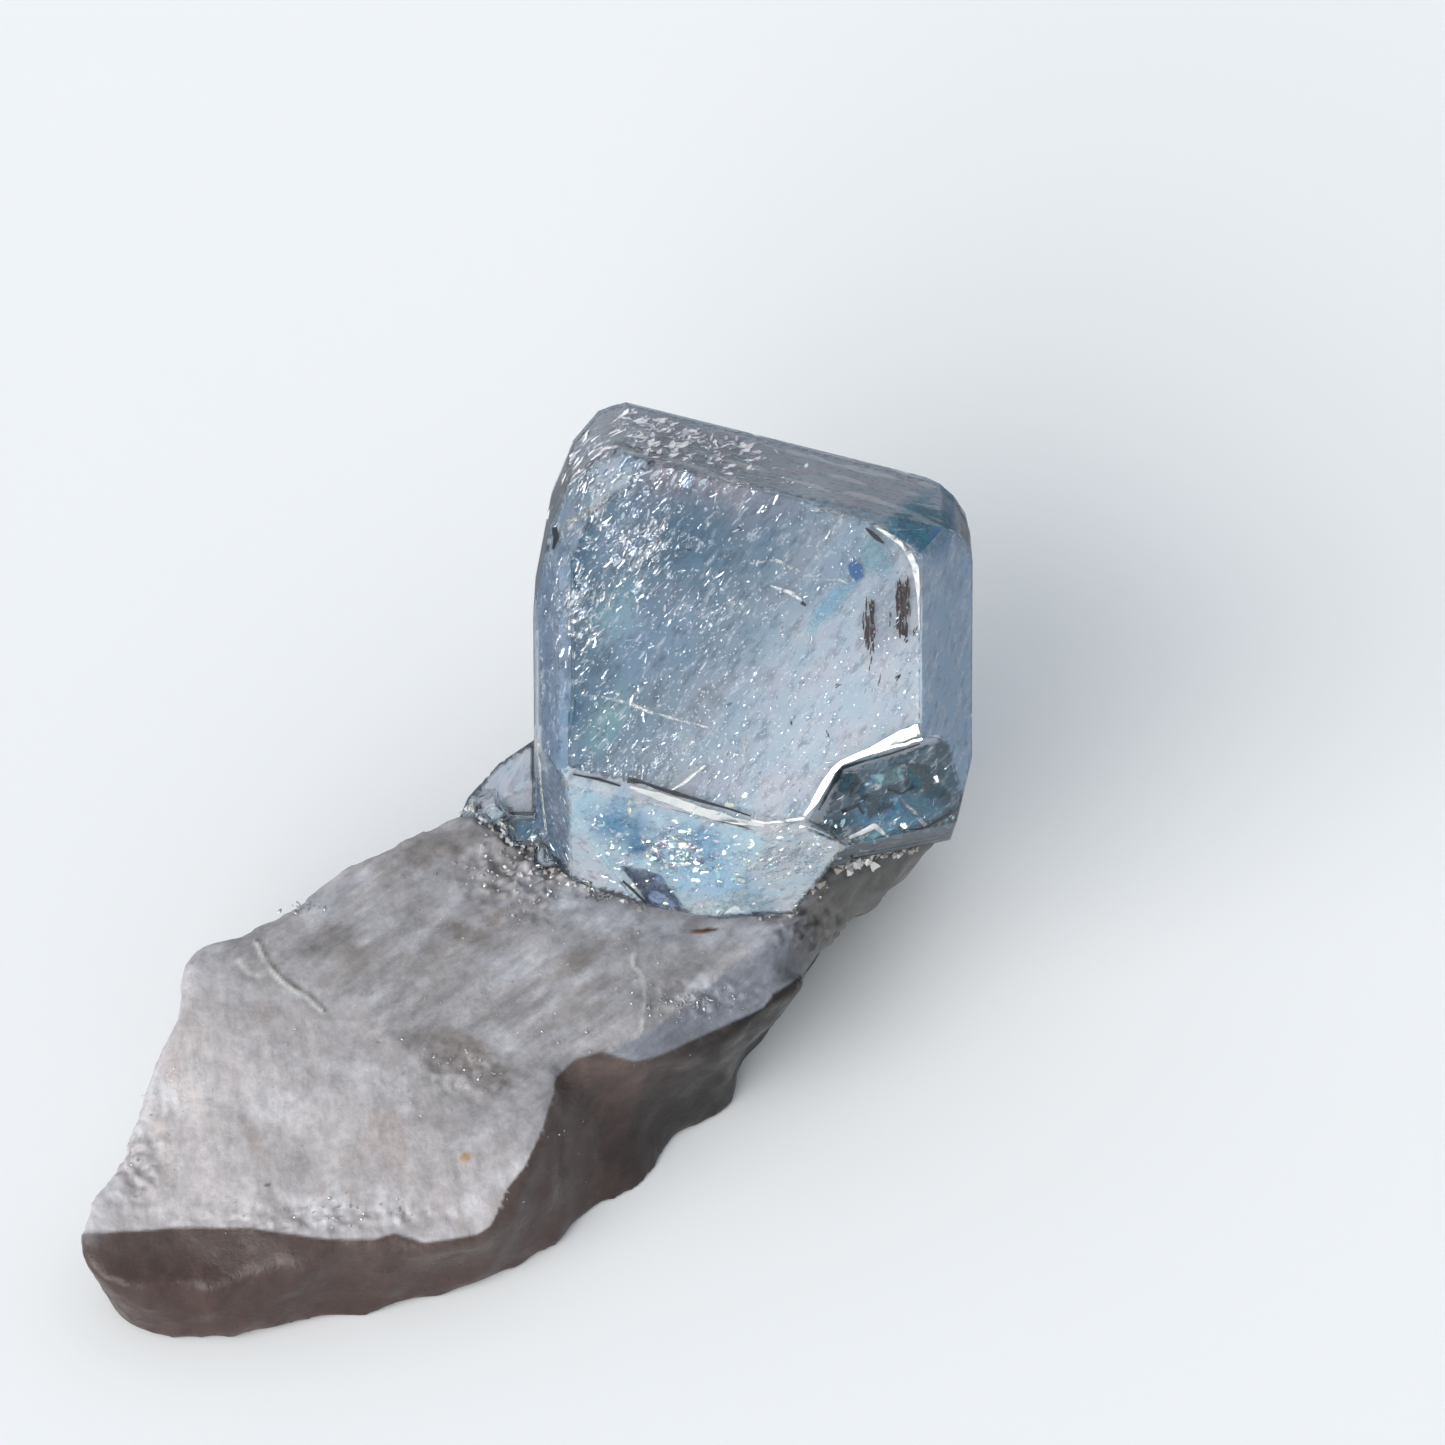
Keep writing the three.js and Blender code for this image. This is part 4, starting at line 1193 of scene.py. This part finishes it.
def top_colour(x, y, z):
    """The colour of the rock's pale top, and how much of its upper part a point has."""
    whiter = -0.465 * (x + 11.1) - 0.885 * (y + 7.1)  # how far toward the white end, down to the left
    whiter += 0.5 * waves(x, y, z, 1.6, -30, 2)
    colour = blend(PALE_ROCK, WHITE_ROCK, smooth_step(-0.7, 1.8, whiter))
    upper = 1 - smooth_step(-0.6, 1.5, whiter)
    veils = [(BROWN_VEIL, 0.85, smooth_step(-0.05, 0.55, waves(x, y, z, 1.5, 35, 2.2))),
             (BLUE_VEIL, 0.75, smooth_step(0.12, 0.75, waves(x, y + 40, z, 0.75, 38, 4))),
             (BLUE_VEIL, 0.5, smooth_step(0.2, 0.8, waves(x + 30, y, z, 0.6, -32, 4)))]
    for veil, share, cover in veils:
        colour = blend(colour, veil, share * upper * cover)
    fibres = (1 - upper) * smooth_step(-0.2, 0.8, waves(x + 9, y, z, 0.42, fibre_turn(x), 6))
    colour = blend(colour, WHITE_FIBRES, 0.6 * fibres)
    pinker = (1 - upper) * smooth_step(0.1, 0.8, waves(x - 9, y, z, 0.5, 105, 5))
    return blend(colour, PINK_FIBRES, 0.7 * pinker), upper


def side_shadow_colour(x, y, z, below):
    """The colour of the rock's dark broken side, some way below the top's edge: brown stone under painted
    shadow.
    """
    dark = blend(BROWN_SIDE_SHADOW, DARKEST_SIDE_SHADOW, smooth_step(-5.5, -1.5, x + 0.35 * (y + 10)))
    lighter = smooth_step(-2.3, -2.5, x - 0.28 * (y + 9.5)) * smooth_step(-12.0, -9.0, y)
    dark = blend(dark, LIGHTER_SIDE_SHADOW, 0.6 * lighter)
    dark = blend(dark, SIDE_SHADOW_BY_EDGE, 0.7 * smooth_step(1.3, 0.0, below) * smooth_step(-0.5, -3.5, x))
    return blend(dark, SIDE_SHADOW_VEIL, 0.3 * smooth_step(0.1, 0.9, waves(x, y, z, 0.6, 60, 2)))


def rock_colour(point):
    """The rock's colour at a point, with painted shade where the top bends down and at the right, painted
    shadow on its broken side, painted shade and highlights along its lines and in its pits, and the share of
    the pale end's fibres.
    """
    x, y, z = FROM_SIGHT.inverted() @ point
    colour, upper = top_colour(x, y, z)
    # painted shade where the top bends down toward the edge
    if x > BEND[-1][0]:
        bend = smooth_step(0.0, 0.10, height_on(BEND, x) - y) * smooth_step(-3.9, -2.6, x)
        colour = blend(colour, BENT_DOWN_SHADE, 0.85 * bend)
    # painted half-shade on the band at the right, below the crystal
    right = smooth_step(0.3, 1.6, x) * smooth_step(0.4, 0.0, y + 6.2 - 0.9 * (x - 1.0))
    colour = blend(colour, RIGHT_HALF_SHADE, right)
    # below that edge, the painted shadow of the broken side
    below = height_on(RIDGE, x) - y
    colour = blend(colour, side_shadow_colour(x, y, z, below), smooth_step(-0.02, 0.07, below))
    # painted shade on one side of each line, a painted highlight on the other
    for line, width, dark_share, light_share, _ in ROCK_LINES:
        distance, side = distance_to(line, x, y)
        uneven = min(1.0, max(0.0, 0.85 + 1.2 * noise.noise(Vector((x * 3.1, y * 3.1, 5.0)))))
        away = side * distance / (0.5 * width)
        shade, lip_highlight = math.exp(-(away - 1) ** 2), math.exp(-(away + 1) ** 2)
        colour = blend(colour, LINE_PAINTED_SHADE, dark_share * uneven * shade)
        colour = blend(colour, LINE_PAINTED_HIGHLIGHT, light_share * uneven * lip_highlight)
    colour = blend(colour, CONTACT_ROCK, 0.6 * math.exp(-(distance_to(PALE_CONTACT, x, y)[0] / 0.4) ** 2))
    rim = math.exp(-(distance_to(PALE_RIM, x, y)[0] / 0.3) ** 2) * (0.6 + 0.4 * waves(x, y, z, 0.4, 60, 1))
    colour = blend(colour, RIM_ROCK, 0.6 * max(0.0, min(1.0, rim)))
    # stains, and the painted shade of the pits
    for middle, halves, turn, its_colour, share in STAINS_AND_PIT_SHADES:
        colour = blend(colour, its_colour, share * smooth_step(1.25, 0.6, oval(x, y, middle, halves, turn)))
    return (*colour, 1 - upper)


# Rough patches: middle in the picture, half-widths, height and size of the bumps
ROUGH_PATCHES = [
    ((-5.0, -5.1), (1.3, 0.9), 0.22, 0.28), ((-1.2, -7.9), (1.1, 0.35), 0.14, 0.22),
    ((1.2, -6.3), (0.9, 0.6), 0.14, 0.25), ((-13.6, -11.6), (0.6, 0.9), 0.14, 0.25),
    ((-6.4, -9.6), (1.2, 0.6), 0.10, 0.25), ((-9.5, -12.7), (2.5, 0.3), 0.12, 0.25),
]


def rock_shift(point):
    """How far the rock's surface stands in or out at a point."""
    x, y, z = FROM_SIGHT.inverted() @ point
    height = 0.07 * noise.noise(point / 1.3) + 0.02 * noise.fractal(point / 0.5, 0.9, 2.1, 3)
    height += 0.03 * waves(x, y, z, 0.5, fibre_turn(x), 5) * smooth_step(-6.5, -8.5, x)
    for line, _, _, _, drop in ROCK_LINES:
        near, side = distance_to(line, x, y)
        uneven = 0.7 + 0.9 * noise.noise(Vector((x * 2.4, y * 2.4, 5.0)))
        height -= drop * uneven * math.tanh(side * near / 0.06) * math.exp(-(near / 0.22) ** 2)
    for middle, halves, amount, size in ROUGH_PATCHES:
        near = nearness(x, y, middle, halves)
        height += amount * near * (noise.turbulence(point / size, 3, False) - 0.4)
    return height


def matrix_material():
    material, nodes = new_material("matrix")
    tint, place = nodes.attribute(), nodes.place()

    def grain(scale, detail):
        return nodes.noise(place, scale / MM, detail, 0.62)

    def fibres(turn, stretch, scale, low, high):
        """Streaks along a direction of the picture."""
        streaks = nodes.along(math.radians(turn), stretch)
        return nodes.ramp(nodes.noise(streaks, scale, 4.0, 0.68), 0.35, 0.65, low, high)

    upper, lower = fibres(38, 3.5, 2.2, 0.74, 1.27), fibres(98, 4.5, 2.6, 0.84, 1.15)
    inputs = {"Factor": tint["Alpha"], "A": upper, "B": lower}
    streaks = nodes.add("Mix", inputs, data_type="FLOAT").outputs["Result"]
    height = grain(4.5, 4.0)
    colour = nodes.mix("MULTIPLY", 1.0, tint["Color"], streaks)
    colour = nodes.mix("MULTIPLY", 1.0, colour, nodes.ramp(height, 0.3, 0.7, 0.84, 1.15))
    gloss = nodes.ramp(grain(1.8, 2.0), 0.3, 0.7, 0.25, 0.55)
    nodes.shade(Base_Color=colour, Roughness=gloss, Normal=nodes.bump(height, 0.5))
    nodes.shade(Subsurface_Weight=0.2, Subsurface_Scale=0.4 * MM, Subsurface_Radius=(1.0, 0.85, 0.8))
    return material


def voxel_copy(mesh, step):
    """The mesh made again of small even faces, in the units it comes in."""
    body = bpy.data.objects.new("copy", mesh)
    bpy.context.scene.collection.objects.link(body)
    remesh = body.modifiers.new("remesh", "REMESH")
    remesh.mode = "VOXEL"
    remesh.voxel_size = step
    made = bpy.data.meshes.new_from_object(body.evaluated_get(bpy.context.evaluated_depsgraph_get()))
    bpy.data.objects.remove(body)
    return made


def near_feature(point):
    """Whether a point of the rock lies at a line, patch, stain or pit painted dark that needs smaller faces.
    """
    x, y, _ = FROM_SIGHT.inverted() @ point
    if any(distance_to(line, x, y)[0] < 0.22 for line, *_ in ROCK_LINES):
        return True
    if abs(y - height_on(RIDGE, x)) < 0.16 and x < 1.5:
        return True
    if any(oval(x, y, middle, halves, 0) < 1.4 for middle, halves, _, _ in ROUGH_PATCHES):
        return True
    return any(math.dist((x, y), middle) < 0.15 + halves[0] for middle, halves, *_ in STAINS_AND_PIT_SHADES)


def refine(bm):
    """Halves the edges near the features."""
    edges = [edge for edge in bm.edges if near_feature((edge.verts[0].co + edge.verts[1].co) / 2)]
    bmesh.ops.subdivide_edges(bm, edges=edges, cuts=1, use_grid_fill=True, smooth=0.0)
    bmesh.ops.triangulate(bm, faces=[face for face in bm.faces if len(face.verts) > 4])


FOOT = 0.15  # height of the part that stays flat on the ground


def make_matrix():
    mesh = copy_mesh("matrix", "matrix")
    mesh.transform(Matrix.Scale(1 / MM, 4))
    mesh = voxel_copy(mesh, ROCK_STEP)
    bm = bmesh.new()
    bm.from_mesh(mesh)
    for _ in range(ROCK_SMOOTHING):
        bmesh.ops.smooth_vert(bm, verts=bm.verts, factor=0.6,
                              use_axis_x=True, use_axis_y=True, use_axis_z=True)
    refine(bm)
    bm.normal_update()
    colours = [rock_colour(vertex.co) for vertex in bm.verts]
    for vertex in bm.verts:
        if vertex.co.z >= FOOT:
            vertex.co += vertex.normal * rock_shift(vertex.co)
    bmesh.ops.transform(bm, matrix=Matrix.Scale(MM, 4), verts=bm.verts)
    bm.to_mesh(mesh)
    bm.free()
    mesh.shade_smooth()
    tint_mesh(mesh, colours)
    rock = add_piece("matrix_rock", mesh, matrix_material())
    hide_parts("matrix")


# Bright points on the rock: middle in the picture, half-widths, how many and how large
ROCK_GLINTS = [
    ((-5.2, -5.2), (1.1, 0.8), 70, 0.12), ((-13.7, -11.6), (0.3, 0.6), 8, 0.10),
    ((-1.2, -8.0), (1.1, 0.3), 60, 0.09), ((-12.9, -10.2), (0.4, 1.0), 20, 0.06),
    ((-6.5, -9.4), (1.2, 0.5), 40, 0.10), ((-10.4, -5.9), (0.7, 0.12), 40, 0.12),
    ((-8.0, -10.5), (4.5, 3.0), 120, 0.06), ((-4.0, -7.5), (3.0, 1.5), 90, 0.06),
    ((-9.0, -12.6), (2.0, 0.3), 60, 0.09),
]
GLINT_COLOUR = (0.45, 0.45, 0.47)


def make_rock_glints(rock):
    rng = random.Random(23)
    flakes = Flakes(None)
    for middle, halves, count, size in ROCK_GLINTS:
        for _ in range(count):
            place, looks = rock.seen(*strewn(rng, middle, halves))
            if place is None:
                continue
            facing = (BACK + KEY).normalized() + shaken(rng, 0.12)
            length = size * rng.uniform(0.4, 1.4)
            flakes.add(place + looks * 0.01, on_sight(rng.uniform(0, math.pi)), facing,
                       length, length * rng.uniform(0.3, 0.8), 0.3 * length, GLINT_COLOUR)
    flakes.piece("matrix_glints", flake_material("matrix glints", 0.35), "matrix")


# Grains where the crystal meets the matrix, and on the matrix's broken edges: middle, half-widths, how many,
# size, and colours
GRAIN_CROWDS = [
    ((-5.1, -4.9), (0.9, 0.6), 40, 0.13, [(0.40, 0.38, 0.38), (0.45, 0.43, 0.43), (0.55, 0.55, 0.56)]),
    ((2.2, -4.85), (0.45, 0.25), 45, 0.20, [(0.85, 0.82, 0.74), (0.60, 0.52, 0.44), (0.9, 0.9, 0.9)]),
    ((1.2, -5.4), (0.35, 0.25), 25, 0.14, [(0.75, 0.72, 0.68), (0.45, 0.40, 0.36)]),
    ((-1.4, -8.15), (0.9, 0.25), 20, 0.09, [(0.45, 0.45, 0.48), (0.38, 0.38, 0.41)]),
]
CONTACT_COLOURS = [(0.72, 0.73, 0.75), (0.58, 0.60, 0.62), (0.42, 0.40, 0.39), (0.56, 0.53, 0.50)]
CONTACT_STEP = 0.07
CONTACT_COLUMNS, CONTACT_ROWS = (-110, 66), (-100, -40)  # where the steps begin and end, across and up
CONTACT_GAP = 0.7  # down the line of sight, at most, between the two pieces where they meet


def grain_material():
    material, nodes = new_material("grains")
    nodes.shade(Base_Color=nodes.attribute()["Color"], Roughness=0.12, IOR=1.55, Transmission_Weight=0.35)
    return material


def first_met(crystal, rock, x, y):
    """Whether the rock is seen first at a point of the picture, where, and how far off."""
    at_rock, _, _, rock_away = rock.ray(x, y)
    at_crystal, _, _, crystal_away = crystal.ray(x, y)
    if at_rock is None and at_crystal is None:
        return None
    if at_crystal is None or (at_rock is not None and rock_away < crystal_away):
        return True, at_rock, rock_away
    return False, at_crystal, crystal_away


def contact_places(crystal, rock):
    """Places on the rock where the picture goes over from it to the crystal, to the right or upward."""
    for i in range(*CONTACT_COLUMNS):
        for j in range(*CONTACT_ROWS):
            here, beside, above = (first_met(crystal, rock, a * CONTACT_STEP, b * CONTACT_STEP)
                                   for a, b in ((i, j), (i + 1, j), (i, j + 1)))
            for other in (beside, above):
                if here and other and here[0] != other[0] and abs(here[2] - other[2]) < CONTACT_GAP:
                    yield here[1] if here[0] else other[1]


def make_grains(crystal, rock):
    rng = random.Random(11)
    points, faces, colours = [], [], []

    def add_grain(at, size, colour):
        """A small angular grain."""
        turn = Matrix.Rotation(rng.uniform(0, 6.28), 3, shaken(rng, 1).normalized())
        first = len(points)
        for corner in ((1, 0, 0), (0, 1, 0), (-1, 0, 0), (0, -1, 0), (0, 0, 1), (0, 0, -1)):
            points.append(at + turn @ Vector(corner) * size * rng.uniform(0.35, 0.75))
        for k in range(4):
            here, after = first + k, first + (k + 1) % 4
            faces.extend([(here, after, first + 4), (after, here, first + 5)])
        colours.extend([(*colour, 1)] * 6)

    for at in contact_places(crystal, rock):
        x = (FROM_SIGHT.inverted() @ at).x
        for _ in range(2 if x > 1.2 else rng.random() < (0.9 if x < -3.4 else 0.5)):
            near = at + shaken(rng, 0.05)
            add_grain(near, rng.uniform(0.08, 0.17), rng.choice(CONTACT_COLOURS))
    for middle, halves, count, size, its_colours in GRAIN_CROWDS:
        for _ in range(count):
            seen = first_met(crystal, rock, *strewn(rng, middle, halves))
            if seen and seen[0]:
                add_grain(seen[1], size * rng.uniform(0.5, 1.3), rng.choice(its_colours))
    new_piece("matrix_grains", points, faces, colours, grain_material())


make_camera()
make_studio()
make_crystal()
crystal_solid, rock_solid = Solid("euclase_crystal"), Solid("matrix")
make_clouds(crystal_solid)
make_veils(crystal_solid)
make_flakes(crystal_solid)
make_matrix()
make_grains(crystal_solid, rock_solid)
make_rock_glints(rock_solid)
